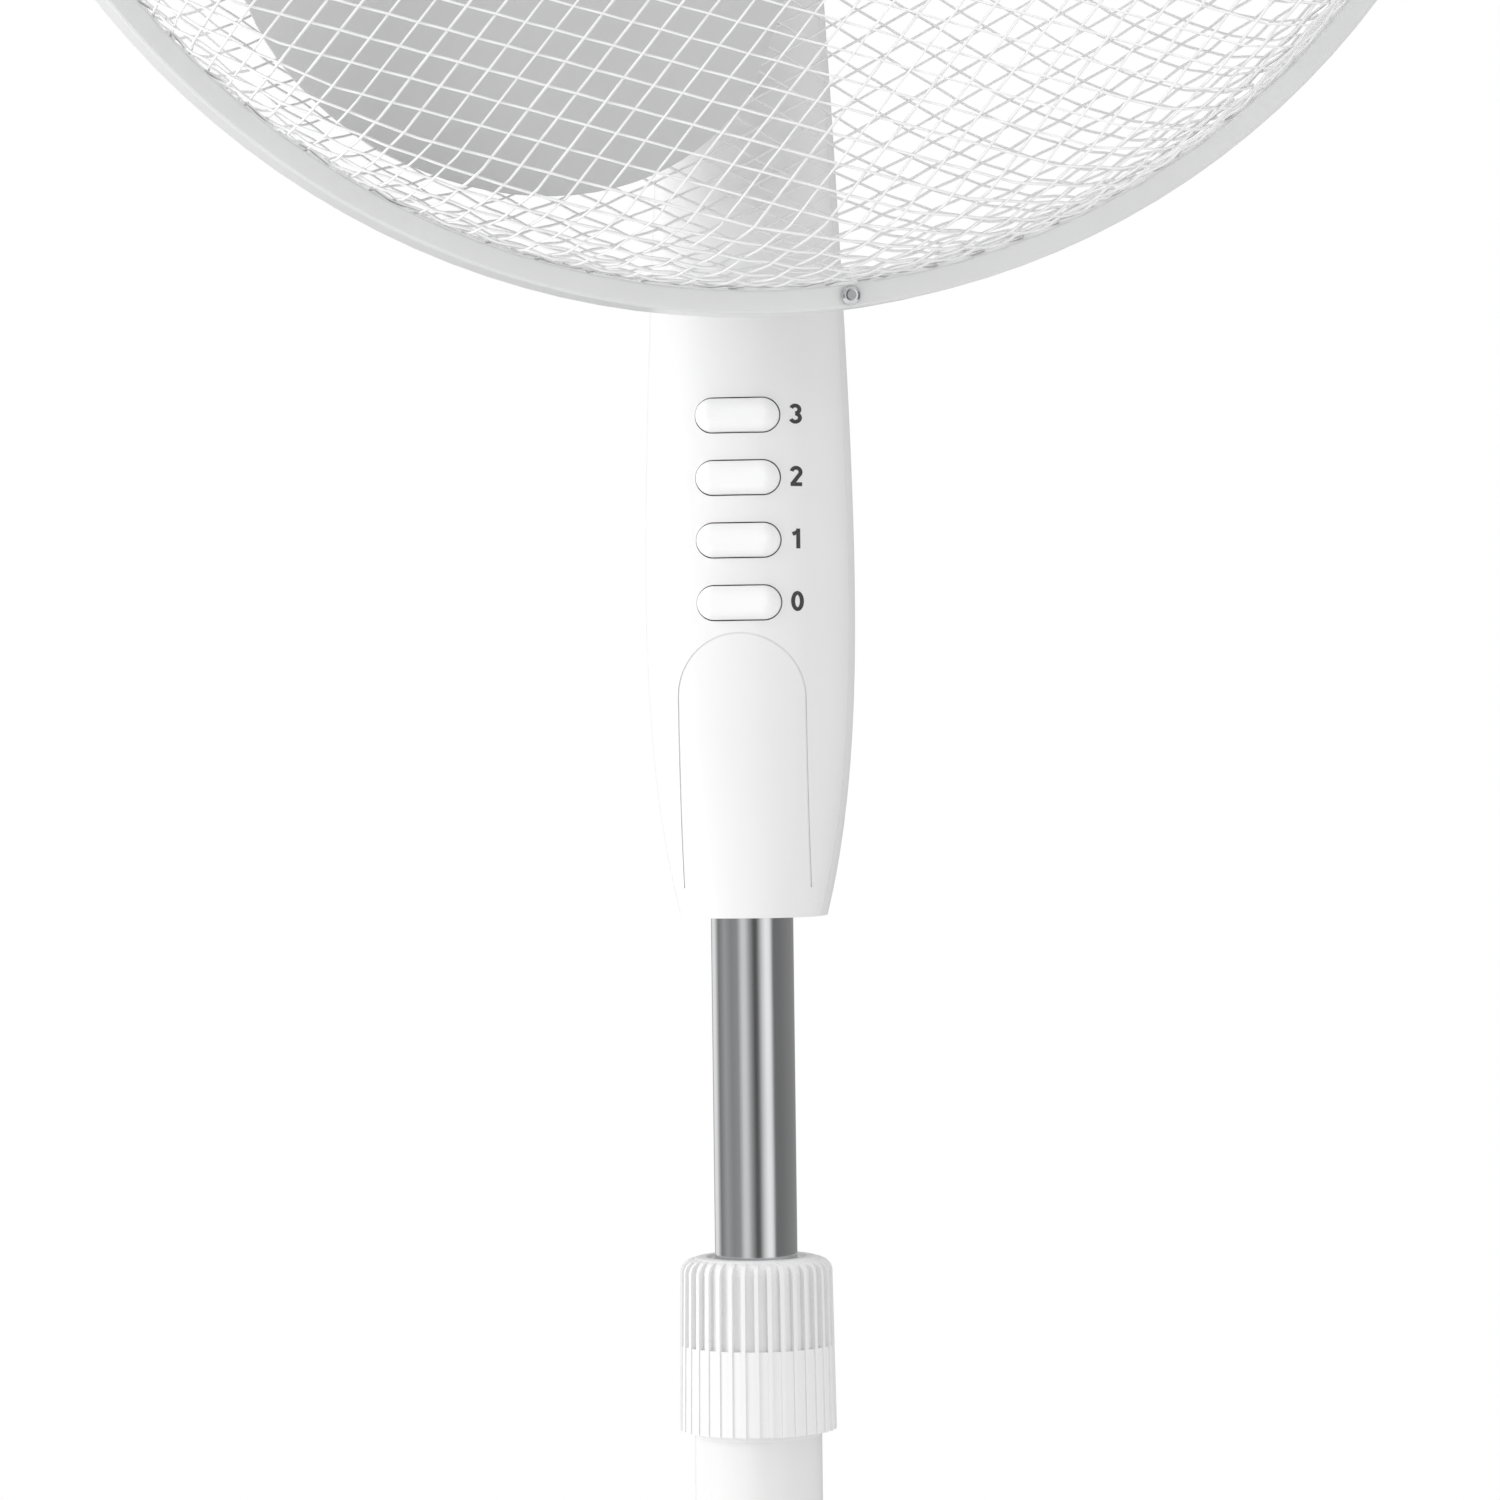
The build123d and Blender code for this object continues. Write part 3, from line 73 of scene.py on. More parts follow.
def place_camera():
    """Build the camera from the direction it looks in and its lean about that direction."""
    side = Vector((math.cos(CAMERA_SIDE), math.sin(CAMERA_SIDE), 0))
    level = Vector((-math.sin(CAMERA_SIDE), math.cos(CAMERA_SIDE), 0))
    ahead = (level * math.cos(CAMERA_DIP) - Vector((0, 0, 1)) * math.sin(CAMERA_DIP)).normalized()
    up = side.cross(ahead)
    right = side * math.cos(CAMERA_ROLL) + up * math.sin(CAMERA_ROLL)
    top = up * math.cos(CAMERA_ROLL) - side * math.sin(CAMERA_ROLL)
    turn = Matrix((right, top, -ahead)).transposed().to_4x4()
    lens = bpy.data.cameras.new("studio_camera")
    lens.lens = CAMERA_LENS
    lens.sensor_width = 36
    lens.clip_start = 0.05
    camera = bpy.data.objects.new("studio_camera", lens)
    camera.matrix_world = Matrix.Translation(-level * CAMERA_DISTANCE + Vector((0, 0, CAMERA_HEIGHT))) @ turn
    bpy.context.scene.collection.objects.link(camera)
    bpy.context.scene.camera = camera
    return camera


print("camera at", tuple(round(x, 3) for x in place_camera().location))

# %% [markdown]
# Surface patterns are sums of noise, bands and masks. Written out as linked nodes they are long, so one small
# class wraps a socket and lets the sums be written as Python expressions. Everything that isn't plain
# arithmetic goes through one method that takes the node's type, its settings and its inputs.

# %% Shader expressions


class Field:
    """One socket of a material's node tree, used like a number."""

    def __init__(self, tree, socket):
        self.tree = tree
        self.socket = socket

    def math(self, operation, *values):
        return self.node("ShaderNodeMath", {"operation": operation}, dict(enumerate(values)))

    def node(self, kind, settings=None, inputs=None, out=0):
        made = self.tree.nodes.new(kind)
        for name, value in (settings or {}).items():
            if name == "stops":
                fill_ramp(made.color_ramp, value)
            else:
                setattr(made, name, value)
        for name, value in (inputs or {}).items():
            if isinstance(value, Field):
                self.tree.links.new(value.socket, made.inputs[name])
            else:
                made.inputs[name].default_value = value
        return Field(self.tree, made.outputs[out])

    def __add__(self, other):
        return self.math("ADD", self, other)

    def __sub__(self, other):
        return self.math("SUBTRACT", self, other)

    def __rsub__(self, other):
        return self.math("SUBTRACT", other, self)

    def __mul__(self, other):
        return self.math("MULTIPLY", self, other)

    def __truediv__(self, other):
        return self.math("DIVIDE", self, other)

    __radd__ = __add__

    def step(self, low, high):
        """0 below low, 1 above high, smooth between them."""
        return self.node(
            "ShaderNodeMapRange",
            {"interpolation_type": "SMOOTHSTEP"},
            {"Value": self, "From Min": low, "From Max": high},
        )

    def mix(self, first, second):
        """The colour that runs from first to second as this value goes from 0 to 1."""
        return self.node("ShaderNodeMix", {"data_type": "RGBA"}, {0: self, 6: first, 7: second}, out=2)


def fill_ramp(ramp, stops):
    while len(ramp.elements) > 1:
        ramp.elements.remove(ramp.elements[-1])
    ramp.elements[0].position, ramp.elements[0].color = stops[0]
    for position, colour in stops[1:]:
        ramp.elements.new(position).color = colour


def rgba(value):
    """A grey or a colour as the four numbers a colour socket takes."""
    return (value, value, value, 1) if isinstance(value, (int, float)) else (*value, 1)


class Finish:
    """A material with one shader, its patterns read from the object's own coordinates."""

    def __init__(self, name, **constants):
        self.material = bpy.data.materials.new(name)
        self.material.use_nodes = True
        self.tree = self.material.node_tree
        self.shader = next(n for n in self.tree.nodes if n.type == "BSDF_PRINCIPLED")
        for socket, value in constants.items():
            self.shader.inputs[socket.replace("_", " ")].default_value = value
        self.start = Field(self.tree, None)
        self.place = self.start.node("ShaderNodeTexCoord", out="Object")

    def turned(self, location=(0, 0, 0), rotation=(0, 0, 0), scale=(1, 1, 1)):
        inputs = {"Vector": self.place, "Location": location, "Rotation": rotation, "Scale": scale}
        return self.start.node("ShaderNodeMapping", {"vector_type": "TEXTURE"}, inputs)

    def noise(self, scale, detail=2.0, roughness=0.5, vector=None):
        inputs = {"Vector": vector or self.place, "Scale": scale, "Detail": detail, "Roughness": roughness}
        return self.start.node("ShaderNodeTexNoise", None, inputs)

    def bands(self, scale, vector, distortion):
        """Waves that follow each other along the vector's Z."""
        settings = {"wave_type": "BANDS", "bands_direction": "Z"}
        inputs = {"Vector": vector, "Scale": scale, "Distortion": distortion}
        return self.start.node("ShaderNodeTexWave", settings, inputs, out="Fac")

    def set(self, **fields):
        for socket, value in fields.items():
            target = self.shader.inputs[socket.replace("_", " ")]
            if isinstance(value, Field):
                self.tree.links.new(value.socket, target)
            else:
                target.default_value = value

    def bump(self, height, depth):
        """Raise the surface by depth metres where height is 1."""
        inputs = {"Height": height, "Distance": depth, "Strength": 1.0}
        self.set(Normal=self.start.node("ShaderNodeBump", None, inputs))


finishes = {}

# %% [markdown]
# Most of the fan is injection-moulded ABS in white. Real mouldings are never one even colour: the surface
# carries the fine orange peel of the polished tool, faint flow mottling, and it is a touch glossier in some
# places than in others. Four scales of noise give those, and the peel is about a hundredth of a millimetre
# deep. The push buttons are the column's own white plastic. Their brighter white is painted light, standing
# in for the light that falls on their domed fronts. The rim is moulded in a greyer white.

# %% White moulded plastic


PEEL_DEPTH = 0.012 * MM


def moulded(name, colour, roughness, mottle=0.02):
    finish = Finish(name, IOR=1.5)
    flow = finish.noise(26, 3)
    shine = finish.noise(90, 2)
    darker = tuple(c * (1 - mottle) for c in colour)
    finish.set(Base_Color=flow.step(0.3, 0.75).mix(rgba(darker), rgba(colour)))
    finish.set(Roughness=roughness + (shine - 0.5) * 0.07)
    finish.bump(finish.noise(420, 2) + finish.noise(1900, 1) * 0.35, PEEL_DEPTH)
    return finish.material


finishes["white_plastic"] = moulded("white_plastic", (0.815, 0.815, 0.815), 0.36)
# The buttons' brighter white is a painted highlight: the same plastic as the column, lightened for the light on
# their domed fronts.
button_white_painted_light = moulded("button_white_painted_light", (0.90, 0.90, 0.90), 0.34)
finishes["rim_plastic"] = moulded("rim_plastic", (0.72, 0.722, 0.725), 0.33, mottle=0.03)
finishes["dark_plastic"] = moulded("dark_plastic", (0.022, 0.022, 0.024), 0.5, mottle=0.2)
finishes["grey_blade"] = moulded("grey_blade", (0.57, 0.57, 0.575), 0.36, mottle=0.03)
print("moulded finishes:", sorted(finishes))

# %% [markdown]
# The base and the lower tube are steel with a white powder coat. Powder melts into a skin with a pebbled
# surface about a millimetre across, deeper than the peel of a moulding, and it gathers light differently on
# the crests and in the dips.

# %% Powder coat


def powder_coat(name, colour, roughness, pebble, depth):
    finish = Finish(name, IOR=1.5)
    lumps = finish.noise(pebble, 2, 0.6)
    fine = finish.noise(pebble * 4, 1)
    shade = finish.noise(14, 2).step(0.35, 0.7)
    finish.set(Base_Color=shade.mix(rgba(tuple(c * 0.97 for c in colour)), rgba(colour)))
    finish.set(Roughness=roughness + (lumps - 0.5) * 0.12)
    finish.bump(lumps + fine * 0.3, depth)
    return finish.material


finishes["white_enamel"] = powder_coat("white_enamel", (0.78, 0.78, 0.78), 0.32, 650, 0.00003)
finishes["guard_wire"] = powder_coat("guard_wire", (0.93, 0.93, 0.93), 0.3, 1500, 0.00001)

# %% [markdown]
# The upper pole is bright chrome plate. It has almost no colour of its own, so its look is all reflection,
# with a few hair-fine polishing lines along the tube and a slight haze that comes and goes.

# %% Chrome plate
chrome = Finish("chrome_plate", Metallic=1.0)
along_tube = chrome.turned(scale=(1, 1, 40))
hairs = chrome.noise(2600, 1, vector=along_tube)
haze = chrome.noise(18, 3).step(0.4, 0.8)
chrome.set(Base_Color=haze.mix(rgba((0.66, 0.665, 0.675)), rgba((0.60, 0.605, 0.615))))
chrome.set(Roughness=0.1 + haze * 0.05 + hairs * 0.06)
chrome.bump(hairs, 0.000003)
finishes["chrome_plate"] = chrome.material

# %% [markdown]
# The pieces nobody sees every day have finishes of their own: moulded rubber feet, zinc-plated screws and
# shaft, the stacked steel sheets of the motor with their copper coils, oil-soaked bronze bearings, die-cast
# zinc alloy and natural nylon gears.

# %% Rubber and nylon
rubber = Finish("rubber", IOR=1.45)
dust = rubber.noise(60, 3).step(0.45, 0.8)
rubber.set(Base_Color=dust.mix(rgba(0.018), rgba(0.035)))
rubber.set(Roughness=0.62 + rubber.noise(240, 2) * 0.25)
rubber.bump(rubber.noise(900, 2), 0.00004)
finishes["rubber"] = rubber.material

nylon = Finish("nylon", Subsurface_Weight=0.15, Subsurface_Scale=0.002)
cloud = nylon.noise(110, 2)
nylon.set(Base_Color=cloud.step(0.3, 0.7).mix(rgba((0.70, 0.67, 0.58)), rgba((0.78, 0.76, 0.69))))
nylon.set(Roughness=0.42 + cloud * 0.14)
nylon.bump(nylon.noise(800, 1), 0.00001)
finishes["nylon"] = nylon.material

# %% Motor metals


def metal(name, dark, light, roughness, grain, stretch=(1, 1, 1), depth=0.000004):
    finish = Finish(name, Metallic=1.0)
    lines = finish.noise(grain, 3, 0.6, finish.turned(scale=stretch))
    tarnish = finish.noise(70, 3).step(0.35, 0.75)
    finish.set(Base_Color=tarnish.mix(rgba(dark), rgba(light)))
    finish.set(Roughness=roughness + lines * 0.16)
    finish.bump(lines, depth)
    return finish.material


finishes["zinc_steel"] = metal(
    "zinc_steel", (0.50, 0.51, 0.53), (0.60, 0.61, 0.62), 0.2, 700, stretch=(1, 1, 12)
)
finishes["die_cast"] = metal(
    "die_cast", (0.46, 0.46, 0.47), (0.56, 0.56, 0.57), 0.36, 380, depth=0.00003
)
finishes["sintered_bronze"] = metal(
    "sintered_bronze", (0.36, 0.24, 0.11), (0.52, 0.37, 0.19), 0.34, 1600, depth=0.00002
)

# %% [markdown]
# A motor core is a stack of half-millimetre steel sheets, so it shows fine lines across the shaft. The coils
# are round enamelled wire laid side by side. Both follow the shaft, and the pattern's own axes are turned to
# the shaft's direction with a Mapping node.

# %% Motor stack and coils
blade_spin = joints["blade_spin"]
forward = Vector(blade_spin["axis"]).normalized()
upward = Vector(joints["head_pan"]["axis"]).normalized()
rightward = upward.cross(forward).normalized()
fan_place = Matrix((rightward, upward, forward)).transposed().to_4x4()
fan_place.translation = Vector(blade_spin["pos_m"])
shaft_turn = fan_place.to_euler()


# A wave texture at scale 1 repeats this many times in a metre.
WAVES_PER_UNIT = 3.1831


def stack(name, dark, light, pitch, roughness, depth):
    finish = Finish(name, Metallic=1.0)
    shaft_space = finish.turned(fan_place.translation, tuple(shaft_turn))
    lines = finish.bands(1 / pitch / WAVES_PER_UNIT, shaft_space, 0.3)
    stain = finish.noise(80, 3)
    finish.set(Base_Color=(lines * 0.6 + stain * 0.4).step(0.2, 0.8).mix(rgba(dark), rgba(light)))
    finish.set(Roughness=roughness + stain * 0.2)
    finish.bump(lines, depth)
    return finish.material


finishes["lamination_steel"] = stack(
    "lamination_steel", (0.10, 0.10, 0.11), (0.34, 0.34, 0.36), 0.0005, 0.3, 0.00006
)
finishes["copper_winding"] = stack(
    "copper_winding", (0.20, 0.055, 0.02), (0.62, 0.24, 0.10), 0.0009, 0.22, 0.0002
)
print(len(finishes), "finishes")

# %% Give every CAD node its finish
for name, node in nodes.items():
    node.data.materials.clear()
    # The buttons get the lighter copy of the white plastic, which is painted light.
    node.data.materials.append(button_white_painted_light if name.startswith("button_") else finishes[slot_of[name]])
print("finished", len(nodes), "nodes")

# %% [markdown]
# The guard is a woven wire cloth, pressed into two shallow dishes. Fine wires run in two slanting families
# that go over and under each other, and the front cloth's slant is not the rear one's, so the two make a
# moire where they are seen together. A texture on a smooth dish would look flat and would have no holes, so
# every wire is real. Geometry Nodes can draw them all: a row of straight wires is laid on the flat blank,
# bent to the dish's shape, rippled for the weave and swept with a small round section. Only the angle, the
# size and the dish change from one family to the next, so these are the tree's inputs.

# %% Sizes of the cloth
WIRE_PITCH = 6.8 * MM
WIRE_RADIUS = 0.37 * MM
WIRE_STEP = 1.22 * MM


def in_fan(node_name):
    """The lowest and highest of a node's points along the shaft, and its largest radius about it."""
    inverse = fan_place.inverted()
    points = [inverse @ v.co for v in nodes[node_name].data.vertices]
    ahead = [p.z for p in points]
    return min(ahead), max(ahead), max(math.hypot(p.x, p.y) for p in points)


front_low, front_high, front_edge = in_fan("front_guard_mesh")
rear_low, rear_high, rear_edge = in_fan("rear_guard_mesh")
print("front cloth from", round(front_low, 4), "to", round(front_high, 4), "radius", round(front_edge, 4))
print("rear cloth from", round(rear_low, 4), "to", round(rear_high, 4), "radius", round(rear_edge, 4))

# %% [markdown]
# The tree is built once. `put` adds a node and joins its inputs in one line, and every size comes in
# through a named input. The distance from the middle of the blank decides where a point goes: inside the
# flat it stays, and past it the distance runs on round a quarter ellipse, so a wire keeps nearly its real
# length as it bends.

# %% Geometry tree for one family of wires
TREE_INPUTS = (
    ("Angle", 0.0),
    ("Cross Angle", 1.0),
    ("Pitch", WIRE_PITCH),
    ("Phase", 0.0),
    ("Cross Phase", 0.0),
    ("Wire Radius", WIRE_RADIUS),
    ("Step", WIRE_STEP),
    ("Flat Radius", 0.17),
    ("Edge Radius", 0.198),
    ("Crown", 0.115),
    ("Rim", 0.085),
    ("Ripple", WIRE_RADIUS),
)


class WireTree:
    """A geometry tree that is written down step by step."""

    def __init__(self, name):
        self.tree = bpy.data.node_groups.new(name, "GeometryNodeTree")
        self.tree.interface.new_socket("Geometry", in_out="INPUT", socket_type="NodeSocketGeometry")
        for title, value in TREE_INPUTS:
            socket = self.tree.interface.new_socket(title, in_out="INPUT", socket_type="NodeSocketFloat")
            socket.default_value = value
        self.tree.interface.new_socket("Material", in_out="INPUT", socket_type="NodeSocketMaterial")
        self.tree.interface.new_socket("Geometry", in_out="OUTPUT", socket_type="NodeSocketGeometry")
        self.given = self.tree.nodes.new("NodeGroupInput")

    def size(self, title):
        return self.given.outputs[title]

    def put(self, kind, settings=None, out=0, **inputs):
        made = self.tree.nodes.new(kind)
        for name, value in (settings or {}).items():
            setattr(made, name, value)
        for name, value in inputs.items():
            key = int(name[1:]) if name[1:].isdigit() else name.replace("_", " ")
            if isinstance(value, bpy.types.NodeSocket):
                self.tree.links.new(value, made.inputs[key])
            else:
                made.inputs[key].default_value = value
        return made.outputs[out]

    def math(self, operation, first, second=0.0):
        return self.put("ShaderNodeMath", {"operation": operation}, i0=first, i1=second)

    def index_of(self, east, north, angle, phase):
        """Which wire of a family passes a place on the blank, counted in pitches across the family."""
        across = self.math(
            "SUBTRACT",
            self.math("MULTIPLY", north, self.math("COSINE", angle)),
            self.math("MULTIPLY", east, self.math("SINE", angle)),
        )
        return self.math("SUBTRACT", self.math("DIVIDE", across, self.size("Pitch")), phase)


wires = WireTree("woven_wires")
put, sums, size = wires.put, wires.math, wires.size

flank_width = sums("SUBTRACT", size("Edge Radius"), size("Flat Radius"))
flank_rise = sums("ABSOLUTE", sums("SUBTRACT", size("Crown"), size("Rim")))
QUARTER = math.pi / 2
flank_length = sums("MULTIPLY", QUARTER * math.sqrt(0.5), sums("SQRT", sums(
    "ADD", sums("MULTIPLY", flank_width, flank_width), sums("MULTIPLY", flank_rise, flank_rise)
)))
blank_radius = sums("ADD", size("Flat Radius"), flank_length)
half_count = sums("CEIL", sums("DIVIDE", blank_radius, size("Pitch")))
wire_count = sums("ADD", sums("MULTIPLY", 2.0, half_count), 1.0)
row = put("GeometryNodeMeshLine", {"mode": "OFFSET"}, Count=wire_count, Offset=(0, 0, 0))
wire_index = sums("SUBTRACT", put("GeometryNodeInputIndex"), half_count)
row_height = sums("MULTIPLY", sums("ADD", wire_index, size("Phase")), size("Pitch"))
row_place = put("ShaderNodeCombineXYZ", Y=row_height)
placed_row = put("GeometryNodeSetPosition", Geometry=row, Position=row_place)
half_run = put("ShaderNodeCombineXYZ", X=blank_radius)
other_half = put("ShaderNodeVectorMath", {"operation": "SCALE"}, Vector=half_run, Scale=-1.0)
straight = put("GeometryNodeCurvePrimitiveLine", Start=other_half, End=half_run)
fine_line = put("GeometryNodeResampleCurve", {"mode": "LENGTH"}, Curve=straight, Length=size("Step"))
rows = put("GeometryNodeInstanceOnPoints", Points=placed_row, Instance=fine_line)
turned_rows = put("GeometryNodeRealizeInstances", Geometry=rows)
turn_by = put("ShaderNodeCombineXYZ", Z=size("Angle"))
turned_rows = put("GeometryNodeTransform", Geometry=turned_rows, Rotation=turn_by)

place = put("GeometryNodeInputPosition")
east = put("ShaderNodeSeparateXYZ", Vector=place)
north = east.node.outputs[1]
reach = sums("SQRT", sums("ADD", sums("MULTIPLY", east, east), sums("MULTIPLY", north, north)))
safe_reach = sums("MAXIMUM", reach, 1e-6)
past = sums("DIVIDE", sums("SUBTRACT", reach, size("Flat Radius")), flank_length)
turn = sums("MULTIPLY", sums("MINIMUM", sums("MAXIMUM", past, 0.0), 1.0), QUARTER)
radius_now = sums(
    "ADD",
    sums("MINIMUM", reach, size("Flat Radius")),
    sums("MULTIPLY", flank_width, sums("SINE", turn)),
)
drop = sums("MULTIPLY", sums("SUBTRACT", size("Crown"), size("Rim")), sums("COSINE", turn))
height_now = sums("ADD", size("Rim"), drop)
own_index = wires.index_of(east, north, size("Angle"), size("Phase"))
cross_index = wires.index_of(east, north, size("Cross Angle"), size("Cross Phase"))
parity = sums("COSINE", sums("MULTIPLY", sums("ROUND", own_index), math.pi))
crossing = sums("COSINE", sums("MULTIPLY", cross_index, math.pi))
ripple = sums("MULTIPLY", sums("MULTIPLY", parity, crossing), size("Ripple"))
outward = sums("MULTIPLY", ripple, sums("SINE", turn))
ahead = sums("MULTIPLY", ripple, sums("COSINE", turn))
spread = sums("DIVIDE", sums("ADD", radius_now, outward), safe_reach)
bent_place = put(
    "ShaderNodeCombineXYZ",
    X=sums("MULTIPLY", east, spread),
    Y=sums("MULTIPLY", north, spread),
    Z=sums("ADD", height_now, ahead),
)
outside = put("FunctionNodeCompare", {"operation": "GREATER_THAN"}, i0=reach, i1=blank_radius)
trimmed = put(
    "GeometryNodeDeleteGeometry", {"domain": "POINT"}, Geometry=turned_rows, Selection=outside
)
bent = put("GeometryNodeSetPosition", Geometry=trimmed, Position=bent_place)
section = put("GeometryNodeCurvePrimitiveCircle", Resolution=4, Radius=size("Wire Radius"))
swept = put("GeometryNodeCurveToMesh", Curve=bent, Profile_Curve=section, Fill_Caps=True)
real = put("GeometryNodeRealizeInstances", Geometry=swept)
smooth = put("GeometryNodeSetShadeSmooth", Geometry=real, Shade_Smooth=True)
painted = put("GeometryNodeSetMaterial", Geometry=smooth, Material=size("Material"))
result = wires.tree.nodes.new("NodeGroupOutput")
wires.tree.links.new(painted, result.inputs[0])
print("tree of", len(wires.tree.nodes), "nodes")

# %% [markdown]
# Each family is grown on an empty mesh, turned into a plain mesh and moved into the fan's own space, where
# the shaft is the axis. The front cloth's wires slant by 51 and -15 degrees, the rear cloth's by 29 and -31.


# %% Grow the four families
def grow(name, settings, body, node_name):
    """Run the tree with these inputs and leave a plain mesh that rides on the body."""
    seed = bpy.data.objects.new(name, bpy.data.meshes.new(name))
    bpy.context.scene.collection.objects.link(seed)
    modifier = seed.modifiers.new("wires", "NODES")
    modifier.node_group = wires.tree
    for item in wires.tree.interface.items_tree:
        if item.in_out == "INPUT" and item.name in settings:
            modifier[item.identifier] = settings[item.name]
    graph = bpy.context.evaluated_depsgraph_get()
    grown = bpy.data.meshes.new_from_object(seed.evaluated_get(graph))
    seed.modifiers.clear()
    grown.transform(fan_place)
    grown.materials.clear()
    grown.materials.append(finishes["guard_wire"])
    seed.data = grown
    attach(seed, body)
    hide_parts(node_name)
    print(name, len(grown.polygons), "faces")


DISH = {
    "front": {
        "Flat Radius": 0.184,
        "Edge Radius": front_edge - WIRE_RADIUS,
        "Crown": front_high - WIRE_RADIUS,
        "Rim": front_low + WIRE_RADIUS,
    },
    "rear": {
        "Flat Radius": 0.164,
        "Edge Radius": rear_edge - 2 * WIRE_RADIUS,
        "Crown": rear_low + WIRE_RADIUS,
        "Rim": rear_high - WIRE_RADIUS,
    },
}
SLANT = {
    "front": (math.radians(50.9), math.radians(-15.3)),
    "rear": (math.radians(28.6), math.radians(-31.0)),
}
PHASE = {"front": (-0.39, -0.34), "rear": (0.3, 0.1)}
for cloth in DISH:
    # The rising family is the first of each pair, and ripples the opposite way to the falling one.
    for own, cross, family, ripple_height in ((0, 1, "rising", WIRE_RADIUS), (1, 0, "falling", -WIRE_RADIUS)):
        settings = {
            **DISH[cloth],
            "Material": finishes["guard_wire"],
            "Angle": SLANT[cloth][own],
            "Cross Angle": SLANT[cloth][cross],
            "Phase": PHASE[cloth][own],
            "Cross Phase": PHASE[cloth][cross],
            "Ripple": ripple_height,
        }
        grow(f"{cloth}_{family}_wires", settings, "head", f"{cloth}_guard_mesh")

# %% [markdown]
# The speeds are printed on the column beside the buttons: 3, 2, 1 and 0 from the top. Print is a film of ink.
# A bold figure is a pen stroke of one width, so each number is drawn as a centre line of arcs and straights,
# given its width and a little thickness, and laid on the curved front by dropping every point straight back
# onto the housing.

# %% Ink and the pen strokes
ink = Finish("grey_ink", IOR=1.5)
ink.set(Base_Color=ink.noise(700, 2).step(0.3, 0.8).mix(rgba(0.04), rgba(0.055)))
ink.set(Roughness=0.5 + ink.noise(900, 1) * 0.1)
ink.bump(ink.noise(1500, 1), 0.000004)

NUMBER_HEIGHT = 5.2 * MM
NUMBER_LEFT = 13.6 * MM
NUMBER_RISE = 0.3 * MM
PEN_WIDTH = 1.0 * MM
INK_FILM = 0.06 * MM
PEN_STEP = 0.3 * MM
FIGURE_BOX = 1.7
CLEAR_OF_COLUMN = 0.2


def arc(centre, radii, start, end, steps=14):
    """Points round part of an ellipse, from one angle to another in degrees."""
    turns = [math.radians(start + (end - start) * k / steps) for k in range(steps + 1)]
    return [(centre[0] + radii[0] * math.cos(t), centre[1] + radii[1] * math.sin(t)) for t in turns]


# Each stroke is drawn in a box 1 wide and 1.7 high, through the middle of the pen.
STROKES = {
    0: [arc((0.5, 0.85), (0.36, 0.70), 0, 360, 32)],
    1: [[(0.62, 0.0), (0.62, 1.7)], [(0.68, 1.52), (0.42, 1.34), (0.16, 1.24)]],
    2: [arc((0.5, 1.2), (0.36, 0.36), 170, -35, 16) + [(0.2, 0.2)], [(0.04, 0.15), (0.98, 0.15)]],
    3: [arc((0.47, 1.22), (0.34, 0.33), 160, -90, 16), arc((0.47, 0.5), (0.38, 0.35), 90, -160, 18)],
}


def dense(points, longest):
    """The same line with no step longer than this, so that it can bend with the surface."""
    finer = [points[0]]
    for start, end in zip(points, points[1:]):
        pieces = max(1, math.ceil(math.dist(start, end) / longest))
        for k in range(1, pieces + 1):
            finer.append(tuple(a + (b - a) * k / pieces for a, b in zip(start, end)))
    return finer


def pen_line(bm, points, width, film):
    """A flat ribbon of the pen's width along the points, closed above and below."""
    closed = math.dist(points[0], points[-1]) < 1e-6
    if closed:
        points = points[:-1]
    count = len(points)
    rows = []
    for k, (x, z) in enumerate(points):
        before = points[k - 1] if closed or k else points[k]
        after = points[(k + 1) % count] if closed or k < count - 1 else points[k]
        run = Vector((after[0] - before[0], after[1] - before[1])).normalized()
        side = Vector((-run.y, run.x)) * width / 2
        rows.append([
            bm.verts.new((x + turn * side.x, level, z + turn * side.y))
            for level in (-film, 0) for turn in (-1, 1)
        ])
    pairs = [(k, (k + 1) % count) for k in range(count if closed else count - 1)]
    for k, after in pairs:
        a, b, c, d = rows[k]
        e, f, g, h = rows[after]
        for face in ((a, b, f, e), (d, c, g, h), (c, a, e, g), (b, d, h, f)):
            bm.faces.new(face)
    if not closed:
        for row in (rows[0], rows[-1]):
            bm.faces.new((row[0], row[2], row[3], row[1]))


# %% Print the numbers
def print_number(digit, middle):
    unit = NUMBER_HEIGHT / FIGURE_BOX
    bm = bmesh.new()
    for stroke in STROKES[digit]:
        points = [(NUMBER_LEFT + x * unit, middle + (z - FIGURE_BOX / 2) * unit) for x, z in stroke]
        pen_line(bm, dense(points, PEN_STEP), PEN_WIDTH, INK_FILM)
    bmesh.ops.recalc_face_normals(bm, faces=bm.faces)
    for vertex in bm.verts:
        start = Vector((vertex.co.x, -CLEAR_OF_COLUMN, vertex.co.z))
        _, point, _, _ = nodes["housing_front"].ray_cast(start, Vector((0, 1, 0)))
        vertex.co.y += point.y
    mesh = bpy.data.meshes.new(f"speed_number_{digit}")
    bm.to_mesh(mesh)
    bm.free()
    mesh.materials.append(ink.material)
    number = bpy.data.objects.new(f"speed_number_{digit}", mesh)
    bpy.context.scene.collection.objects.link(number)
    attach(number, "upper_column")
    return number


for digit in range(4):
    low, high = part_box(f"button_{digit}")
    number = print_number(digit, (low.z + high.z) / 2 + NUMBER_RISE)
    print(number.name, "with", len(number.data.polygons), "faces")

# %% [markdown]
# The studio is plain: a pale floor that fades out into a white room, a broad soft light from the left, and
# weaker ones from the right and from above. The room itself is what the chrome shows. Real product sets have
# dark walls between the lights, and the tube's dark and bright stripes are those walls, so the room has the
# same bands for reflections, at the same compass directions whichever way the object is seen.

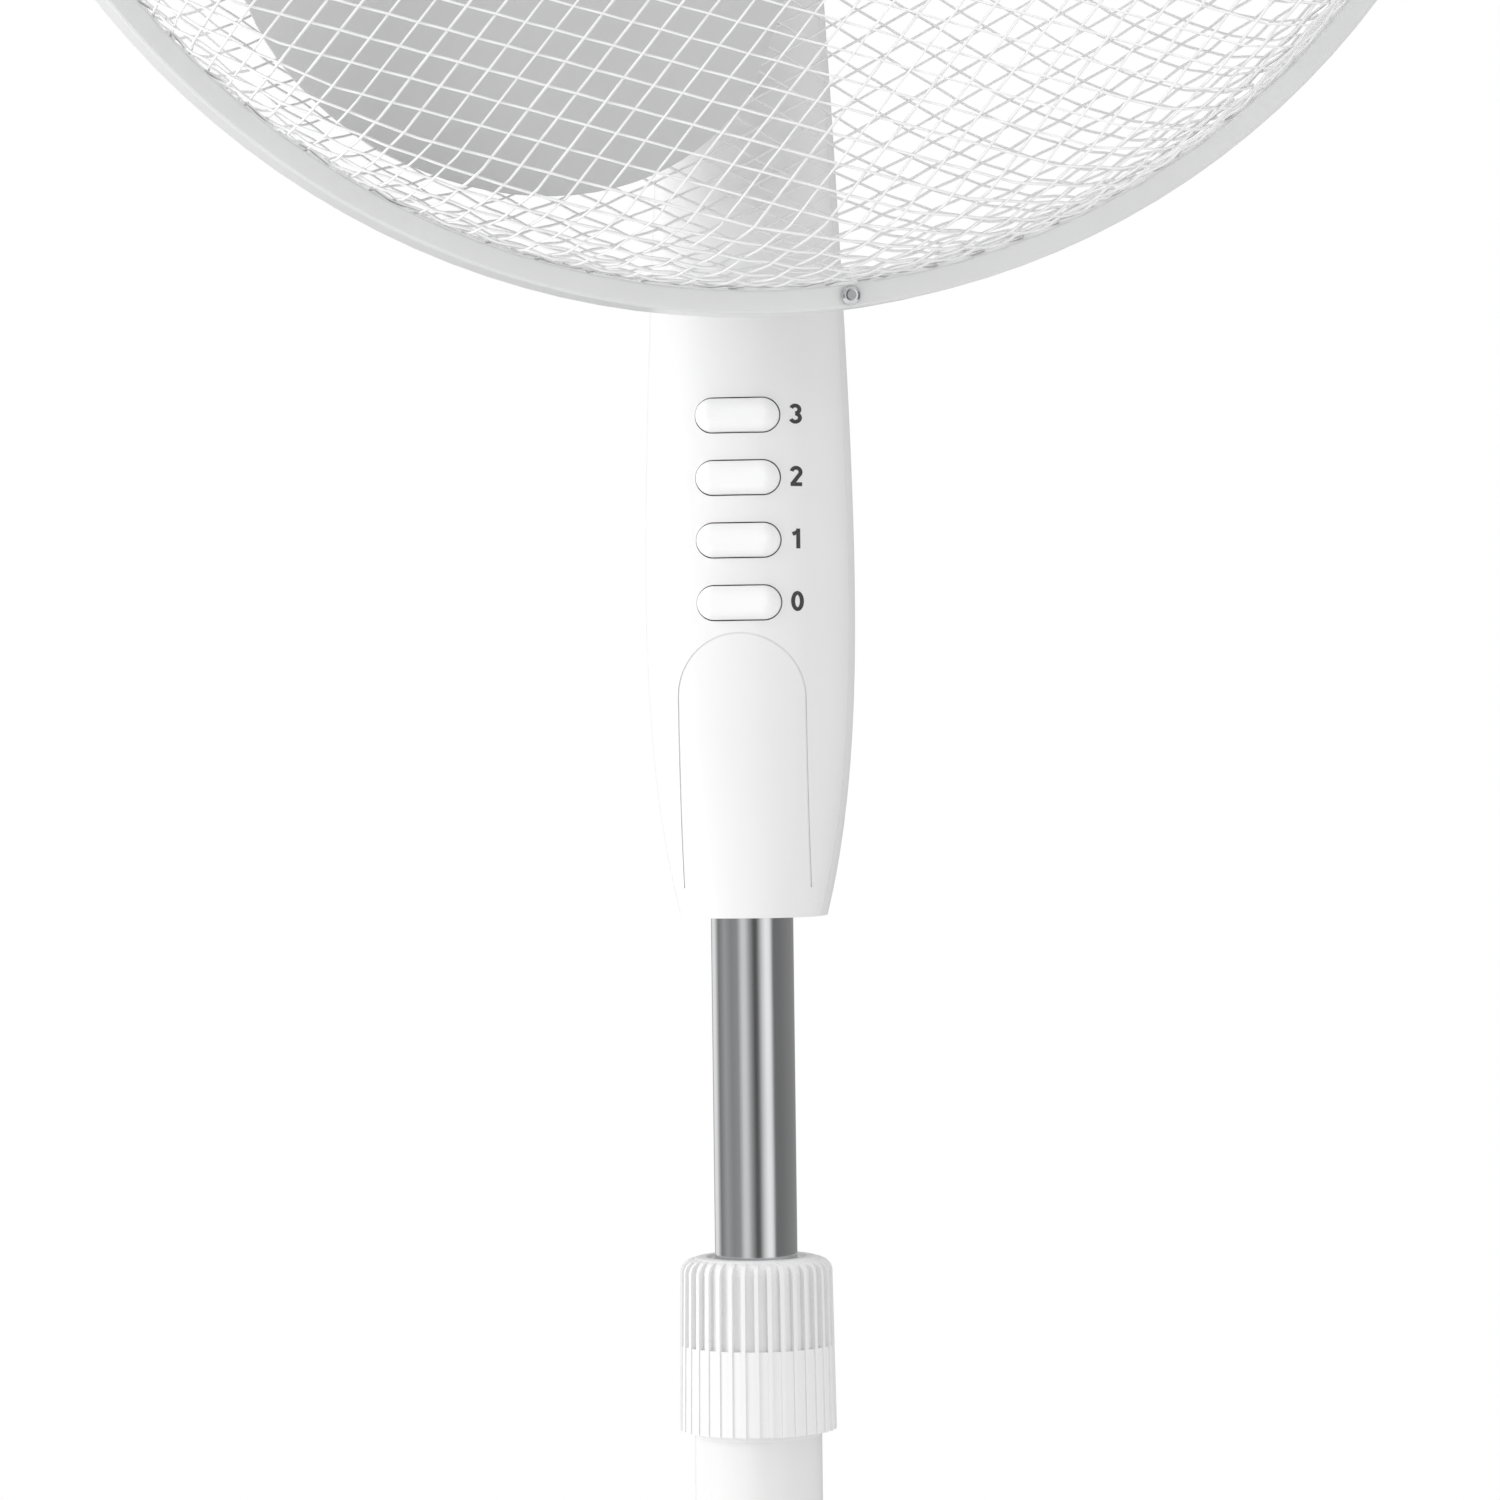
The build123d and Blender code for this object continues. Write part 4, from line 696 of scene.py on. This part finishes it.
# %% Floor
FLOOR_RINGS = (0.4, 0.8, 1.2, 1.6, 1.9, 2.2)
FLOOR_SIDES = 96
FADE_FROM = 1.0
FADE_TO = 2.1


def make_floor():
    bm = bmesh.new()
    centre = bm.verts.new((0, 0, 0))
    previous = None
    for radius in FLOOR_RINGS:
        ring = [
            bm.verts.new((radius * math.cos(a), radius * math.sin(a), 0))
            for a in (2 * math.pi * k / FLOOR_SIDES for k in range(FLOOR_SIDES))
        ]
        for k in range(FLOOR_SIDES):
            after = (k + 1) % FLOOR_SIDES
            if previous is None:
                bm.faces.new((centre, ring[k], ring[after]))
            else:
                bm.faces.new((previous[k], ring[k], ring[after], previous[after]))
        previous = ring
    mesh = bpy.data.meshes.new("studio_floor")
    bm.to_mesh(mesh)
    bm.free()
    floor = bpy.data.objects.new("studio_floor", mesh)
    bpy.context.scene.collection.objects.link(floor)
    paint = Finish("floor_paint", Roughness=0.6)
    measure = {"operation": "LENGTH"}
    away = paint.start.node("ShaderNodeVectorMath", measure, {"Vector": paint.place}, out="Value")
    paint.set(Base_Color=paint.noise(3, 2).mix(rgba(0.86), rgba(0.88)))
    paint.set(Alpha=1 - away.step(FADE_FROM, FADE_TO))
    mesh.materials.append(paint.material)


make_floor()

# %% Room and lights
world = bpy.data.worlds.new("studio")
bpy.context.scene.world = world
world.use_nodes = True
world.node_tree.nodes.clear()
room = Field(world.node_tree, None)
bearing = room.node("ShaderNodeTexCoord", out="Generated")
sides = room.node("ShaderNodeSeparateXYZ", None, {"Vector": bearing})
across = Field(world.node_tree, sides.socket.node.outputs[0])
behind = Field(world.node_tree, sides.socket.node.outputs[1])
height = Field(world.node_tree, sides.socket.node.outputs[2])
compass = room.math("ARCTAN2", across, behind * -1) / (2 * math.pi) + 0.5


def wall(degrees, grey):
    """One stop of the room's walls: degrees to the right of straight behind the camera."""
    return (0.5 + (degrees + math.degrees(CAMERA_SIDE)) / 360, rgba(grey))


WALLS = [
    (0.0, rgba(0.36)),
    wall(-165, 0.40),
    wall(-150, 1.0),
    wall(-132, 1.0),
    wall(-112, 0.24),
    wall(-86, 0.46),
    wall(-64, 0.32),
    wall(-44, 0.36),
    wall(-30, 0.86),
    wall(-21, 0.82),
    wall(-10, 0.44),
    wall(4, 0.10),
    wall(12, 0.14),
    wall(25, 0.80),
    wall(37, 1.2),
    wall(48, 1.1),
    wall(59, 0.20),
    wall(82, 0.22),
    wall(108, 0.27),
    (1.0, rgba(0.36)),
]
walls = room.node("ShaderNodeValToRGB", {"stops": WALLS}, {"Fac": compass})
CEILING = 0.9
overhead = height.step(0.45, 0.8)
reflected = overhead.mix(walls, rgba(CEILING))
rays = room.node("ShaderNodeLightPath")
is_camera = Field(world.node_tree, rays.socket.node.outputs["Is Camera Ray"])
is_glossy = Field(world.node_tree, rays.socket.node.outputs["Is Glossy Ray"])
AMBIENT = 0.80
BACKDROP = 1.0
unseen = is_glossy.mix(rgba(AMBIENT), reflected)
light = is_camera.mix(unseen, rgba(BACKDROP))
air = room.node("ShaderNodeBackground", None, {"Color": light, "Strength": 1.0})
output = world.node_tree.nodes.new("ShaderNodeOutputWorld")
world.node_tree.links.new(air.socket, output.inputs["Surface"])


# Each light: where it stands, the height on the pole that it looks at, its width, its height and its watts.
SOFTBOXES = {
    "left_softbox": ((-2.75, -1.15, 1.2), 0.75, 1.6, 2.2, 54),
    "right_softbox": ((2.4, -2.4, 1.3), 0.75, 1.6, 2.0, 15),
    "top_softbox": ((0.2, -0.3, 3.2), 0.8, 2.2, 2.2, 16),
}


def soft_light(name, stand, aim_height, width, length, power):
    lamp = bpy.data.lights.new(name, "AREA")
    lamp.shape = "RECTANGLE"
    lamp.size = width
    lamp.size_y = length
    lamp.energy = power
    holder = bpy.data.objects.new(name, lamp)
    holder.location = stand
    holder.rotation_mode = "QUATERNION"
    holder.rotation_quaternion = (Vector((0, 0, aim_height)) - Vector(stand)).to_track_quat("-Z", "Y")
    holder.visible_camera = False
    holder.visible_glossy = False
    bpy.context.scene.collection.objects.link(holder)


for name, sizes in SOFTBOXES.items():
    soft_light(name, *sizes)
bpy.context.scene.view_settings.view_transform = "Standard"
print(len(SOFTBOXES), "lights and a room")
